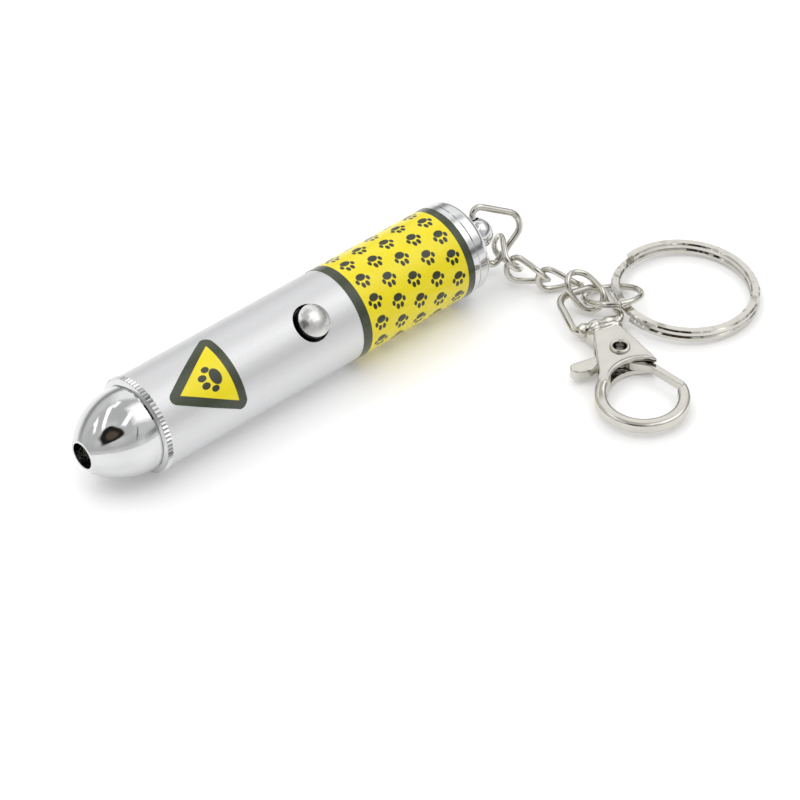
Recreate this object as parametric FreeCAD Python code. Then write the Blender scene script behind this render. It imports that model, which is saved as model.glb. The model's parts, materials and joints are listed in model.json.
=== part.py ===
import FreeCAD, Part
import math
import os

# Keychain laser pointer. Millimetres. The barrel lies along X with its nose at low X,
# the keychain hangs from the ball on the tail cap and lies on the floor in front (low Y).

os.makedirs("parts", exist_ok=True)
V = FreeCAD.Vector

# Barrel tube
TUBE_RADIUS = 7.0
TUBE_WALL = 0.8
TUBE_LENGTH = 55.1
SCREW_CLEARANCE = 0.05
SHANK_LENGTH = 4.4

# Nose cone
NOSE_LENGTH = 10.0
RIM_OVERHANG = 0.2
RIM_WIDTH = 0.85
RIM_SHOULDER = 0.25
GROOVE_DEPTH = 0.2
DOME_STEP = 0.7
DOME_SHOULDER_X = 3.0
DOME_SHOULDER_DROP = 1.35
APERTURE_RADIUS = 1.95
APERTURE_DEPTH = 1.3
TIP_WALL = 0.4
NOSE_WALL = 1.4
NOSE_BORE_START = 4.6
BORE_MOUTH_STEP = 1.0
TOOTH_COUNT = 72
TOOTH_DEPTH = 0.22

# Laser module
MODULE_CLEARANCE = 0.15
MODULE_LENGTH = 14.0
MODULE_WALL = 1.0
WASHER_THICKNESS = 0.8
WASHER_HOLE_RADIUS = 2.3
STACK_GAP = 0.3
RETAINER_THICKNESS = 1.1
RETAINER_WIDTH = 1.35
LENS_THICKNESS = 1.2
LENS_BULGE = 0.5
LENS_SPRING_WIRE = 0.4
LENS_SPRING_TURNS = 4
DIODE_FLANGE_RADIUS = 2.7
DIODE_FLANGE_THICKNESS = 1.2
DIODE_CAN_RADIUS = 1.75
DIODE_CAN_HEIGHT = 2.2
LEAD_RADIUS = 0.2
LEAD_SPACING = 1.27
LEAD_LENGTH = 4.0

# Carrier and circuit board
CARRIER_WALL = 0.95
CARRIER_END_WALL = 0.8
BOARD_THICKNESS = 0.8
BOARD_SIDE_GAP = 0.55
BOARD_HEIGHT = 0.25
BOARD_MARGIN = 0.2
SWITCH_SIDE = 6.0
SWITCH_HEIGHT = 2.3
SWITCH_END_GAP = 1.4
SWITCH_FLOOR = 1.05
PLUNGER_RADIUS = 1.5
CHIP_LENGTH = 3.9
CHIP_SWITCH_GAP = 1.5
RESISTOR_END_GAP = 0.8
RESISTOR_SPACING = 4.0
CHIP_WIDTH = 3.2
CHIP_HEIGHT = 1.2
RESISTOR_LENGTH = 2.0
RESISTOR_WIDTH = 1.25
RESISTOR_HEIGHT = 0.6

# Push button
BUTTON_TURN = 37.6
BUTTON_HOLE_RADIUS = 2.8
BUTTON_RADIUS = 2.4
BUTTON_OFFSET = 0.3
BUTTON_SIDE_HEIGHT = 0.35
BUTTON_DOME_HEIGHT = 0.95
BUTTON_FLANGE_RADIUS = 3.25
BUTTON_FLANGE_THICKNESS = 0.5
BUTTON_TRAVEL = 0.5

# Battery stack
CELL_CLEARANCE = 0.15
CELL_HEIGHT = 5.4
CELL_COUNT = 3
CELL_CAP_INSET = 1.1
CELL_CAP_STEP = 0.6
CELL_SHANK_GAP = 0.7
SLEEVE_WALL = 0.2
CONTACT_SPRING_WIRE = 0.5
CONTACT_SPRING_HEIGHT = 1.6
CONTACT_SPRING_TURNS = 2
CONTACT_SPRING_BASE_RADIUS = 4.0
CONTACT_SPRING_TOP_RADIUS = 2.0

# Tail cap and ball
CAP_OVERHANG = 0.1
CAP_LENGTH = 3.3
CAP_GROOVE_DEPTH = 0.25
CAP_GROOVE_WIDTH = 0.3
CAP_LIP_WIDTH = 0.9
CAP_END_INSET = 1.0
CAP_ROUND_LENGTH = 1.1
CAP_ROUND_MID = 0.3
CAP_ROUND_BULGE = 0.15
CAP_FLOOR = 2.4
CAP_WALL = 1.15
BALL_RADIUS = 2.35
BALL_CENTRE_REACH = 3.5
NECK_RADIUS = 1.1
EYE_HOLE_RADIUS = 0.85
EYE_HOLE_TURN = 64.1
TAIL_SPRING_WIRE = 0.6
TAIL_SPRING_TURNS = 4
TAIL_SPRING_SIDE_GAP = 0.5
TAIL_SPRING_TOP_RADIUS = 2.4
SPRING_SEAT_GAP = 0.03
SPRING_WIRE_SIDES = 8

# Printed films
FILM_THICKNESS = 0.05
WRAP_LENGTH = 20.94
WRAP_END_GAP = 0.03
DECAL_X = 19.1
DECAL_SIDE = 13.8
DECAL_CORNER_RADIUS = 1.0

# Bail on the ball
BAIL_WIRE = 1.04
BAIL_SWING = -12.6
BAIL_SHIFT = -0.84
BAIL_HALF_BASE = 5.4
BAIL_DEPTH = 8.6
BAIL_BASE_CORNER = 1.2
BAIL_TIP_CORNER = 2.07

# Twisted chain links
LINK_WIRE = 0.9
LINK_INNER_LENGTH = 5.42
LINK_INNER_WIDTH = 3.03
LINK_TWIST = 76.7

# Jump ring
JUMP_WIRE = 0.95
JUMP_INNER_RADIUS = 3.675
JUMP_CUT = 1.5
JUMP_CUT_ANGLE = 262.0

# Split ring, two flat coils with one crossing. The angles are seen from above.
SPLIT_INNER_RADIUS = 9.45
SPLIT_WIRE_WIDTH = 1.3
SPLIT_WIRE_HEIGHT = 0.92
SPLIT_EDGE = 0.22
SPLIT_COIL_GAP = 0.04
SPLIT_UPPER_END = 97.5
SPLIT_CROSSING_END = 160.0
SPLIT_LOWER_END = 177.0
SPLIT_CROSSING_STEPS = 8

# Swivel eye
EYE_WIRE = 1.1
EYE_TOP_WIDTH = 6.7
EYE_BASE_WIDTH = 7.5
EYE_DEPTH = 7.27
EYE_TOP_CORNER = 1.9
EYE_BASE_CORNER = 1.0
POST_RADIUS = 0.6
POST_HEAD_RADIUS = 1.05
POST_HEAD_THICKNESS = 0.7
TURNING_CLEARANCE = 0.05

# Where each loop lies: heading, climb and roll in degrees
LINK_LIE = ((-102.3, -9.0, -110.3), (-61.1, -6.5, 62.2), (-49.4, -4.3, 74.3), (-83.9, -31.9, -11.8))
JUMP_LIE = (-20.4, -3.1, -22.2)
SPLIT_LIE = (0.0, -2.2, 1.1)
EYE_LIE = (-108.5, -7.6, 3.0)

# Where each loop touches the one before it: a link's near stations are measured from its near
# end and its far stations from its far end, each on one strand or the other.
BAIL_SIDE_SHARE = 0.289
LINK_NEAR = ((2.21, 1), (0.23, 1), (0.66, 1), (0.02, 1))
LINK_FAR = ((0.85, -1), (0.66, 1), (1.97, 1), (1.97, -1))
JUMP_NEAR_ANGLE = 175.0
JUMP_SPLIT_ANGLE = 60.0
JUMP_EYE_ANGLE = 155.0
SPLIT_NEAR_ANGLE = 130.1
EYE_NEAR_SIDE = 0.83

# How each loop hangs on the one before: heading and climb from wire to wire, and the gap left
BAIL_TO_LINK = (23.5, -53.0, 0.32)
LINK_TO_LINK = ((29.3, -24.8, 0.25), (40.9, 8.1, 0.28), (-44.1, 65.5, 0.33))
LINK_TO_JUMP = (-4.3, 23.6, 0.25)
JUMP_TO_SPLIT = (-146.2, 73.3, 0.27)
JUMP_TO_EYE = (69.7, 72.9, 0.2)

# Clasp, in its own plane: S runs from the swivel eye to the hook, T toward the gate
CLASP_HEADING = -109.3
PLATE_THICKNESS = 0.7
CAVITY_HEIGHT = 1.7
COLLAR_START = 0.9
COLLAR_RADIUS = 1.55
COLLAR_WALL = 1.3
COLLAR_LEAD = 0.4
CROWN_HALF_WIDTH = 2.4
CROWN_HALF_HEIGHT = 1.45
CROWN_ROUNDING = 0.55
HEAD_CHAMBER_LENGTH = 1.5
SHOULDER_S = 2.8
SHOULDER_HALF_WIDTH = 2.2
RIVET_S = 6.8
RIVET_RADIUS = 1.1
RIVET_HOLE_RADIUS = 0.85
RIVET_HEAD_RADIUS = 1.45
RIVET_HEAD_HEIGHT = 0.12
BODY_BEND_S = 10.4
BODY_BEND_T = -4.85
WEB_START_S = 11.2
GATE_SIDE_S = 11.1
GATE_SIDE_T = 3.85
THROAT_S = 9.75
THROAT_T = -0.2
SIDE_WALL = 0.7
HOOK_S = 16.3
HOOK_T = -0.9
HOOK_RADIUS = 5.85
HOOK_WIDTH = 1.7
HOOK_HEIGHT = 2.8
HOOK_ROUNDING = 0.65
PLATE_ROUNDING = 0.2
HOOK_ROOT_ANGLE = 226.0
HOOK_TIP_ANGLE = 459.0

# Trigger: gate and thumb lever on one hub
TRIGGER_THICKNESS = 1.5
TRIGGER_BORE_CLEARANCE = 0.05
TRIGGER_HUB_RADIUS = 1.5
TRIGGER_RECESS_RADIUS = 1.95
TRIGGER_WEB = 0.3
GATE_REACH = 10.9
GATE_TIP_GAP = 0.25
GATE_SIDE_GAP = 0.25
GATE_WIDTH = 1.4
GATE_KNEE_S = 11.2
LEVER_LENGTH = 8.0
LEVER_TIP_WIDTH = 2.1
LEVER_ROOT_WIDTH = 2.3
LEVER_ROOT_REACH = 1.5
LEVER_LEAN = -0.25
LEVER_HEEL = 0.8
LEVER_SHOULDER = 2.0
LEVER_NOTCH = 1.0
LEVER_NOTCH_STEP = 0.2

# Trigger spring
TRIGGER_SPRING_WIRE = 0.28
TRIGGER_SPRING_RADIUS = 1.7
TRIGGER_SPRING_PITCH = 0.7
TRIGGER_SPRING_SWEEP = 395.0
TRIGGER_SPRING_START = -57.0
TRIGGER_SPRING_BASE = -0.22
TRIGGER_SPRING_LONG_LEG = 4.4

BIG = 100.0
SMALL = 1e-6
TANGENT_STEP = 1e-4
GAP_SAMPLES = 24
GAP_SKIP = 12
LEG_GAP_SAMPLES = 120
LEG_GAP_SKIP = 40

# Derived sizes of the barrel, across
BORE_RADIUS = TUBE_RADIUS - TUBE_WALL
SHANK_RADIUS = BORE_RADIUS - SCREW_CLEARANCE
INSERT_RADIUS = BORE_RADIUS - SCREW_CLEARANCE
RIM_RADIUS = TUBE_RADIUS + RIM_OVERHANG
DOME_BASE_RADIUS = TUBE_RADIUS - DOME_STEP
DOME_SHOULDER_RADIUS = DOME_BASE_RADIUS - DOME_SHOULDER_DROP
TIP_RADIUS = APERTURE_RADIUS + TIP_WALL
NOSE_BORE_RADIUS = SHANK_RADIUS - NOSE_WALL
MODULE_RADIUS = NOSE_BORE_RADIUS - MODULE_CLEARANCE
MODULE_BORE = MODULE_RADIUS - MODULE_WALL
RETAINER_HOLE_RADIUS = MODULE_BORE - SCREW_CLEARANCE - RETAINER_WIDTH
BOARD_HALF_WIDTH = INSERT_RADIUS - BOARD_SIDE_GAP
CELL_RADIUS = INSERT_RADIUS - SLEEVE_WALL - CELL_CLEARANCE
CELL_CAP_RADIUS = CELL_RADIUS - CELL_CAP_INSET
CAP_RADIUS = TUBE_RADIUS + CAP_OVERHANG
CAP_END_RADIUS = CAP_RADIUS - CAP_END_INSET
CAP_CAVITY_RADIUS = SHANK_RADIUS - CAP_WALL
TAIL_SPRING_BASE_RADIUS = CAP_CAVITY_RADIUS - TAIL_SPRING_SIDE_GAP - TAIL_SPRING_WIRE / 2

# Derived places along the barrel. The cells stand against the tail cap's spring, and
# the carrier reaches from the laser module to them.
DOME_LENGTH = NOSE_LENGTH - RIM_WIDTH - RIM_SHOULDER - GROOVE_DEPTH
TUBE_START = NOSE_LENGTH
TUBE_END = TUBE_START + TUBE_LENGTH
CAP_END = TUBE_END + CAP_LENGTH
CAP_SEAT_X = TUBE_END - SHANK_LENGTH
CAP_FLOOR_X = CAP_END - CAP_FLOOR
BALL_X = CAP_END + BALL_CENTRE_REACH
MODULE_START = NOSE_BORE_START + WASHER_THICKNESS + STACK_GAP
MODULE_END = MODULE_START + MODULE_LENGTH
CARRIER_START = TUBE_START + SHANK_LENGTH + STACK_GAP
CARRIER_COLLAR_END = MODULE_END + STACK_GAP
BOARD_TOP = BOARD_HEIGHT + BOARD_THICKNESS
CELLS_END = CAP_SEAT_X - CELL_SHANK_GAP
CELLS_START = CELLS_END - CELL_COUNT * CELL_HEIGHT
CARRIER_END = CELLS_START - CONTACT_SPRING_HEIGHT
WALL_START = CARRIER_END - CARRIER_END_WALL
BUTTON_X = WALL_START - SWITCH_END_GAP - SWITCH_SIDE / 2

# Derived sizes of the keychain
LINK_LENGTH = LINK_INNER_LENGTH + LINK_WIRE
LINK_WIDTH = LINK_INNER_WIDTH + LINK_WIRE
JUMP_RADIUS = JUMP_INNER_RADIUS + JUMP_WIRE / 2
SPLIT_RADIUS = SPLIT_INNER_RADIUS + SPLIT_WIRE_WIDTH / 2
SPLIT_LIFT = (SPLIT_WIRE_HEIGHT + SPLIT_COIL_GAP) / 2

ORIGIN = V(0, 0, 0)
X_AXIS = V(1, 0, 0)
Z_AXIS = V(0, 0, 1)


# Vectors
def unit(vector):
    return vector * (1.0 / vector.Length)


def direction(heading, climb):
    """Unit vector at a heading in the floor plane and a climb above it, in degrees."""
    head = math.radians(heading)
    rise = math.radians(climb)
    return V(math.cos(rise) * math.cos(head), math.cos(rise) * math.sin(head), math.sin(rise))


class Frame:
    """A place with three square directions: along, across and normal."""

    def __init__(self, place, along, across):
        self.place = place
        self.along = unit(along)
        self.normal = unit(self.along.cross(across))
        self.across = self.normal.cross(self.along)

    def point(self, a, b, c=0.0):
        return self.place + self.along * a + self.across * b + self.normal * c

    def moved_to(self, place):
        return Frame(place, self.along, self.across)

    def placement(self):
        turn = FreeCAD.Rotation(self.along, self.across, self.normal, "ZXY")
        return FreeCAD.Placement(self.place, turn)


def turned_frame(heading, climb, roll):
    """Frame at the origin that points along heading and climb, rolled about that line."""
    along = direction(heading, climb)
    level = V(-math.sin(math.radians(heading)), math.cos(math.radians(heading)), 0)
    upright = along.cross(level)
    across = level * math.cos(math.radians(roll)) + upright * math.sin(math.radians(roll))
    return Frame(ORIGIN, along, across)


# Revolved bodies about the barrel's axis. A step of two numbers is a corner at (x, radius);
# a step of four is an arc through its first pair that ends at its second.
def profile_face(steps, plane_point):
    edges = []
    start = steps[0]
    closed_by_arc = len(steps[-1]) == 4 and steps[-1][-2:] == start
    for step in steps[1:] if closed_by_arc else steps[1:] + steps[:1]:
        end = step[-2:]
        if len(step) == 4:
            edges.append(Part.Arc(plane_point(*start), plane_point(*step[:2]), plane_point(*end)).toShape())
        else:
            edges.append(Part.makeLine(plane_point(*start), plane_point(*end)))
        start = end
    return Part.Face(Part.Wire(edges))


def revolve_x(steps):
    return profile_face(steps, lambda x, r: V(x, 0, r)).revolve(ORIGIN, X_AXIS, 360)


def revolve_z(steps):
    return profile_face(steps, lambda r, z: V(r, 0, z)).revolve(ORIGIN, Z_AXIS, 360)


def rod_x(start, end, radius):
    return Part.makeCylinder(radius, end - start, V(start, 0, 0), X_AXIS)


def pipe_x(start, end, outer, inner):
    return rod_x(start, end, outer).cut(rod_x(start, end, inner))


def block(x0, x1, y0, y1, z0, z1):
    return Part.makeBox(x1 - x0, y1 - y0, z1 - z0, V(x0, y0, z0))


def toward_button(shape):
    """Turn a shape built with the button straight up to the button's real side."""
    shape.rotate(ORIGIN, X_AXIS, BUTTON_TURN)
    return shape


def single(shape):
    return shape.Solids[0]


def cap_middle(radius, height):
    """Point half way up the arc of a round cap: its distance out and its depth below the top."""
    sphere = (radius ** 2 + height ** 2) / (2 * height)
    half_angle = math.asin(radius / sphere) / 2
    return sphere * math.sin(half_angle), sphere * (1 - math.cos(half_angle))


# Round wire bent along arcs
def arc_edge(start, heading, end):
    chord = end - start
    ahead = unit(chord)
    side = heading - ahead * heading.dot(ahead)
    if side.Length < SMALL:
        return Part.makeLine(start, end)
    turn = math.acos(max(-1.0, min(1.0, heading.dot(ahead))))
    middle = (start + end) * 0.5 + unit(side) * (chord.Length / 2 * math.tan(turn / 2))
    return Part.Arc(start, middle, end).toShape()


def biarc(start, start_heading, end, end_heading):
    """Two arcs that leave start and reach end along the given headings."""
    span = end - start
    both = start_heading + end_heading
    spread = 2 * (1 - start_heading.dot(end_heading))
    if spread < 1e-9:
        arm = span.dot(span) / (4 * span.dot(end_heading))
    else:
        arm = (math.sqrt(span.dot(both) ** 2 + spread * span.dot(span)) - span.dot(both)) / spread
    middle = (start + end) * 0.5 + (start_heading - end_heading) * (arm / 2)
    middle_heading = unit(middle - start - start_heading * arm)
    return [arc_edge(start, start_heading, middle), arc_edge(middle, middle_heading, end)]


def arcs_through(curve, stations):
    """Biarc edges through a curve at the given stations."""
    step = TANGENT_STEP
    points = [curve(s) for s in stations]
    headings = [unit(curve(s + step) - curve(s - step)) for s in stations]
    edges = []
    for i in range(len(stations) - 1):
        edges += biarc(points[i], headings[i], points[i + 1], headings[i + 1])
    return edges


def wire_solid(edges, start, heading, radius):
    section = Part.Wire([Part.Circle(start, heading, radius).toShape()])
    return single(Part.Wire(edges).makePipeShell([section], True, False))


def spring_solid(edges, start, heading, radius):
    """Thin spring wire, with flat sides that enclose the round wire's area."""
    step = 2 * math.pi / SPRING_WIRE_SIDES
    reach = radius * math.sqrt(step / math.sin(step))
    out = unit(heading.cross(X_AXIS))
    side = heading.cross(out)
    corners = [start + out * (reach * math.cos(step * i)) + side * (reach * math.sin(step * i))
               for i in range(SPRING_WIRE_SIDES)]
    section = Part.makePolygon(corners + corners[:1])
    return single(Part.Wire(edges).makePipeShell([section], True, False))


def wire_loop(curve, stations, radius):
    """Closed loop of round wire, swept as two halves that meet face to face."""
    step = TANGENT_STEP
    edges = arcs_through(curve, stations)
    half = len(edges) // 2
    middle = stations[len(stations) // 2]
    halves = []
    for part, station in ((edges[:half], stations[0]), (edges[half:], middle)):
        heading = unit(curve(station + step) - curve(station - step))
        halves.append(wire_solid(part, curve(station), heading, radius))
    return single(halves[0].fuse(halves[1]))


def rounded_loop(corners, radii):
    """Curve of a flat loop with straight sides and rounded corners, and its stations.

    The corners are points in order; the curve's station is its length along the loop."""
    count = len(corners)
    pieces = []
    for i in range(count):
        here = corners[i]
        before = unit(corners[i - 1] - here)
        after = unit(corners[(i + 1) % count] - here)
        half_angle = math.acos(before.dot(after)) / 2
        reach = radii[i] / math.tan(half_angle)
        centre = here + unit(before + after) * (radii[i] / math.sin(half_angle))
        pieces.append((here + before * reach, here + after * reach, centre, radii[i], math.pi - 2 * half_angle))
    runs = []
    total = 0.0
    for i in range(count):
        entry, leave, centre, radius, turn = pieces[i]
        next_entry = pieces[(i + 1) % count][0]
        out = unit(entry - centre)
        ahead = unit(entry - corners[i]) * -1
        runs.append((total, radius * turn, centre, out, ahead, radius))
        total += radius * turn
        side = (next_entry - leave).Length
        runs.append((total, side, leave, None, unit(next_entry - leave), 0.0))
        total += side

    def curve(station):
        station = station % total
        for begin, length, base, out, ahead, radius in reversed(runs):
            if station >= begin:
                along = station - begin
                if out is None:
                    return base + ahead * along
                turn = along / radius
                return base + out * (radius * math.cos(turn)) + ahead * (radius * math.sin(turn))

    stations = [run[0] for run in runs] + [total]
    return curve, stations


def coil_curve(axis_start, turns, pitch, start_radius, end_radius, quarter=0.0):
    """Helix or cone about X, by turns, that starts at a quarter turn."""
    def curve(turn):
        angle = 2 * math.pi * (turn + quarter)
        radius = start_radius + (end_radius - start_radius) * turn / turns
        return V(axis_start + pitch * turn, radius * math.cos(angle), radius * math.sin(angle))
    return curve


def least_gap(curve, length, diameter, samples, near):
    """Least free distance of a round wire to itself, leaving out points less than near apart."""
    points = [curve(length * i / samples) for i in range(samples + 1)]
    least = BIG
    for i in range(len(points)):
        for j in range(i + near, len(points)):
            least = min(least, (points[i] - points[j]).Length)
    return least - diameter


def coil_spring(name, start_x, end_x, turns, wire, start_radius, end_radius):
    """Wound spring on the barrel's axis between two seats."""
    inset = wire / 2 + SPRING_SEAT_GAP
    pitch = (end_x - start_x - 2 * inset) / turns
    curve = coil_curve(start_x + inset, turns, pitch, start_radius, end_radius)
    quarters = [i / 4 for i in range(4 * turns + 1)]
    heading = unit(curve(TANGENT_STEP) - curve(-TANGENT_STEP))
    solid = spring_solid(arcs_through(curve, quarters), curve(0), heading, wire / 2)
    gap = least_gap(curve, turns, wire, GAP_SAMPLES * turns, GAP_SKIP)
    print(name, "least gap between turns", round(gap, 2))
    return solid


# Nose cone and what lies in it
def make_nose_cone():
    flange_start = NOSE_LENGTH - RIM_WIDTH
    flange_radius = RIM_RADIUS - TOOTH_DEPTH
    groove_radius = DOME_BASE_RADIUS - GROOVE_DEPTH
    shank_end = TUBE_START + SHANK_LENGTH
    body = revolve_x([
        (0, APERTURE_RADIUS),
        (0, TIP_RADIUS),
        (DOME_SHOULDER_X, DOME_SHOULDER_RADIUS, DOME_LENGTH, DOME_BASE_RADIUS),
        (DOME_LENGTH, groove_radius),
        (DOME_LENGTH + GROOVE_DEPTH, groove_radius),
        (DOME_LENGTH + GROOVE_DEPTH, DOME_BASE_RADIUS),
        (flange_start, flange_radius),
        (NOSE_LENGTH, flange_radius),
        (NOSE_LENGTH, SHANK_RADIUS),
        (shank_end, SHANK_RADIUS),
        (shank_end, NOSE_BORE_RADIUS),
        (NOSE_BORE_START, NOSE_BORE_RADIUS),
        (NOSE_BORE_START, WASHER_HOLE_RADIUS + BORE_MOUTH_STEP),
        (APERTURE_DEPTH, APERTURE_RADIUS),
    ])
    return single(body.fuse(make_knurled_rim(flange_start)))


def make_knurled_rim(start):
    corners = []
    for i in range(2 * TOOTH_COUNT):
        angle = math.pi * i / TOOTH_COUNT
        radius = RIM_RADIUS - TOOTH_DEPTH * (i % 2)
        corners.append(V(start, radius * math.sin(angle), radius * math.cos(angle)))
    ring = Part.Face(Part.makePolygon(corners + corners[:1])).extrude(X_AXIS * RIM_WIDTH)
    return ring.cut(rod_x(start, start + RIM_WIDTH, BORE_RADIUS - SCREW_CLEARANCE))


def make_nose_washer():
    return pipe_x(NOSE_BORE_START, NOSE_BORE_START + WASHER_THICKNESS,
                  NOSE_BORE_RADIUS - SCREW_CLEARANCE, WASHER_HOLE_RADIUS)


# Laser module
def make_module():
    seat = MODULE_END - DIODE_FLANGE_THICKNESS
    step = seat - MODULE_WALL
    housing = revolve_x([
        (MODULE_START, MODULE_BORE),
        (MODULE_START, MODULE_RADIUS),
        (MODULE_END, MODULE_RADIUS),
        (MODULE_END, DIODE_FLANGE_RADIUS + SCREW_CLEARANCE),
        (seat, DIODE_FLANGE_RADIUS + SCREW_CLEARANCE),
        (seat, DIODE_CAN_RADIUS + SCREW_CLEARANCE),
        (step, DIODE_CAN_RADIUS + SCREW_CLEARANCE),
        (step, MODULE_BORE),
    ])
    fit = MODULE_BORE - SCREW_CLEARANCE
    retainer_end = MODULE_START + RETAINER_THICKNESS
    retainer = pipe_x(MODULE_START, retainer_end, fit, RETAINER_HOLE_RADIUS)
    lens_back = retainer_end + LENS_BULGE + LENS_THICKNESS
    out, drop = cap_middle(RETAINER_HOLE_RADIUS, LENS_BULGE)
    lens = revolve_x([
        (retainer_end, 0),
        (retainer_end + drop, out, retainer_end + LENS_BULGE, RETAINER_HOLE_RADIUS),
        (retainer_end + LENS_BULGE, fit),
        (lens_back, fit),
        (lens_back, 0),
    ])
    can_start = seat - DIODE_CAN_HEIGHT
    spring_radius = fit - LENS_SPRING_WIRE / 2
    spring = coil_spring("lens_spring", lens_back, step, LENS_SPRING_TURNS, LENS_SPRING_WIRE,
                         spring_radius, spring_radius)
    diode = rod_x(seat, MODULE_END, DIODE_FLANGE_RADIUS).fuse(rod_x(can_start, seat, DIODE_CAN_RADIUS))
    lead_height = BOARD_HEIGHT - LEAD_RADIUS - TURNING_CLEARANCE
    for side in (-1, 0, 1):
        lead = Part.makeCylinder(LEAD_RADIUS, LEAD_LENGTH, V(MODULE_END, side * LEAD_SPACING, lead_height), X_AXIS)
        diode = diode.fuse(lead)
    return housing, retainer, lens, spring, toward_button(single(diode))


# Carrier, circuit board and switch, built with the button straight up
def make_carrier():
    collar = pipe_x(CARRIER_START, CARRIER_COLLAR_END, INSERT_RADIUS, MODULE_RADIUS)
    trough = pipe_x(CARRIER_COLLAR_END, WALL_START, INSERT_RADIUS, INSERT_RADIUS - CARRIER_WALL)
    above = block(CARRIER_COLLAR_END, WALL_START, -BIG, BIG, BOARD_HEIGHT, BIG)
    wall = rod_x(WALL_START, CARRIER_END, INSERT_RADIUS)
    return toward_button(single(collar.fuse(trough.cut(above)).fuse(wall)))


def make_board():
    board = block(CARRIER_COLLAR_END + BOARD_MARGIN, WALL_START - BOARD_MARGIN,
                  -BOARD_HALF_WIDTH, BOARD_HALF_WIDTH, BOARD_HEIGHT, BOARD_TOP)
    return toward_button(board)


def flange_top():
    """Height at which the button's flat flange meets the round bore, less its clearance."""
    return math.sqrt(BORE_RADIUS ** 2 - BUTTON_FLANGE_RADIUS ** 2) - 3 * TURNING_CLEARANCE


def plunger_bottom():
    return BOARD_TOP + SWITCH_FLOOR + BUTTON_TRAVEL + 2 * TURNING_CLEARANCE


def make_switch():
    half = SWITCH_SIDE / 2
    x = BUTTON_X + BUTTON_OFFSET
    body = block(x - half, x + half, -half, half, BOARD_TOP, BOARD_TOP + SWITCH_HEIGHT)
    bore = Part.makeCylinder(PLUNGER_RADIUS + TURNING_CLEARANCE, BIG, V(x, 0, BOARD_TOP + SWITCH_FLOOR), Z_AXIS)
    return toward_button(single(body.cut(bore)))


def make_plunger():
    start = V(BUTTON_X + BUTTON_OFFSET, 0, plunger_bottom())
    length = flange_top() - BUTTON_FLANGE_THICKNESS - plunger_bottom()
    return toward_button(Part.makeCylinder(PLUNGER_RADIUS, length, start, Z_AXIS))


def make_button():
    top = TUBE_RADIUS + BUTTON_SIDE_HEIGHT
    crown = top + BUTTON_DOME_HEIGHT
    flange = flange_top()
    base = flange - BUTTON_FLANGE_THICKNESS
    out, drop = cap_middle(BUTTON_RADIUS, BUTTON_DOME_HEIGHT)
    button = revolve_z([
        (0, base),
        (BUTTON_FLANGE_RADIUS, base),
        (BUTTON_FLANGE_RADIUS, flange),
        (BUTTON_RADIUS, flange),
        (BUTTON_RADIUS, top),
        (out, crown - drop, 0, crown),
    ])
    button.translate(V(BUTTON_X + BUTTON_OFFSET, 0, 0))
    return toward_button(button)


def make_chip():
    x = BUTTON_X - SWITCH_SIDE / 2 - CHIP_LENGTH - CHIP_SWITCH_GAP
    chip = block(x, x + CHIP_LENGTH, -CHIP_WIDTH / 2, CHIP_WIDTH / 2, BOARD_TOP, BOARD_TOP + CHIP_HEIGHT)
    return toward_button(chip)


def make_resistors():
    x = CARRIER_COLLAR_END + BOARD_MARGIN + RESISTOR_END_GAP
    pair = []
    for y in (-RESISTOR_SPACING / 2, RESISTOR_SPACING / 2):
        pair.append(block(x, x + RESISTOR_WIDTH, y - RESISTOR_LENGTH / 2, y + RESISTOR_LENGTH / 2,
                          BOARD_TOP, BOARD_TOP + RESISTOR_HEIGHT))
    return toward_button(Part.makeCompound(pair))


# Battery stack
def make_cell(index):
    start = CELLS_START + index * CELL_HEIGHT
    end = start + CELL_HEIGHT
    return revolve_x([
        (start, 0),
        (start, CELL_CAP_RADIUS),
        (start + CELL_CAP_STEP, CELL_CAP_RADIUS),
        (start + CELL_CAP_STEP, CELL_RADIUS),
        (end, CELL_RADIUS),
        (end, 0),
    ])


def make_sleeve():
    return pipe_x(CARRIER_END + STACK_GAP, CELLS_END, INSERT_RADIUS, INSERT_RADIUS - SLEEVE_WALL)


def make_contact_spring():
    return coil_spring("contact_spring", CARRIER_END, CELLS_START, CONTACT_SPRING_TURNS, CONTACT_SPRING_WIRE,
                       CONTACT_SPRING_BASE_RADIUS, CONTACT_SPRING_TOP_RADIUS)


# Barrel tube and its films
def make_barrel():
    tube = pipe_x(TUBE_START, TUBE_END, TUBE_RADIUS, BORE_RADIUS)
    hole = toward_button(Part.makeCylinder(BUTTON_HOLE_RADIUS, BIG, V(BUTTON_X, 0, 0), Z_AXIS))
    return single(tube.cut(hole))


def make_label_wrap():
    end = TUBE_END - WRAP_END_GAP
    return pipe_x(end - WRAP_LENGTH, end, TUBE_RADIUS + FILM_THICKNESS, TUBE_RADIUS)


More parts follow.
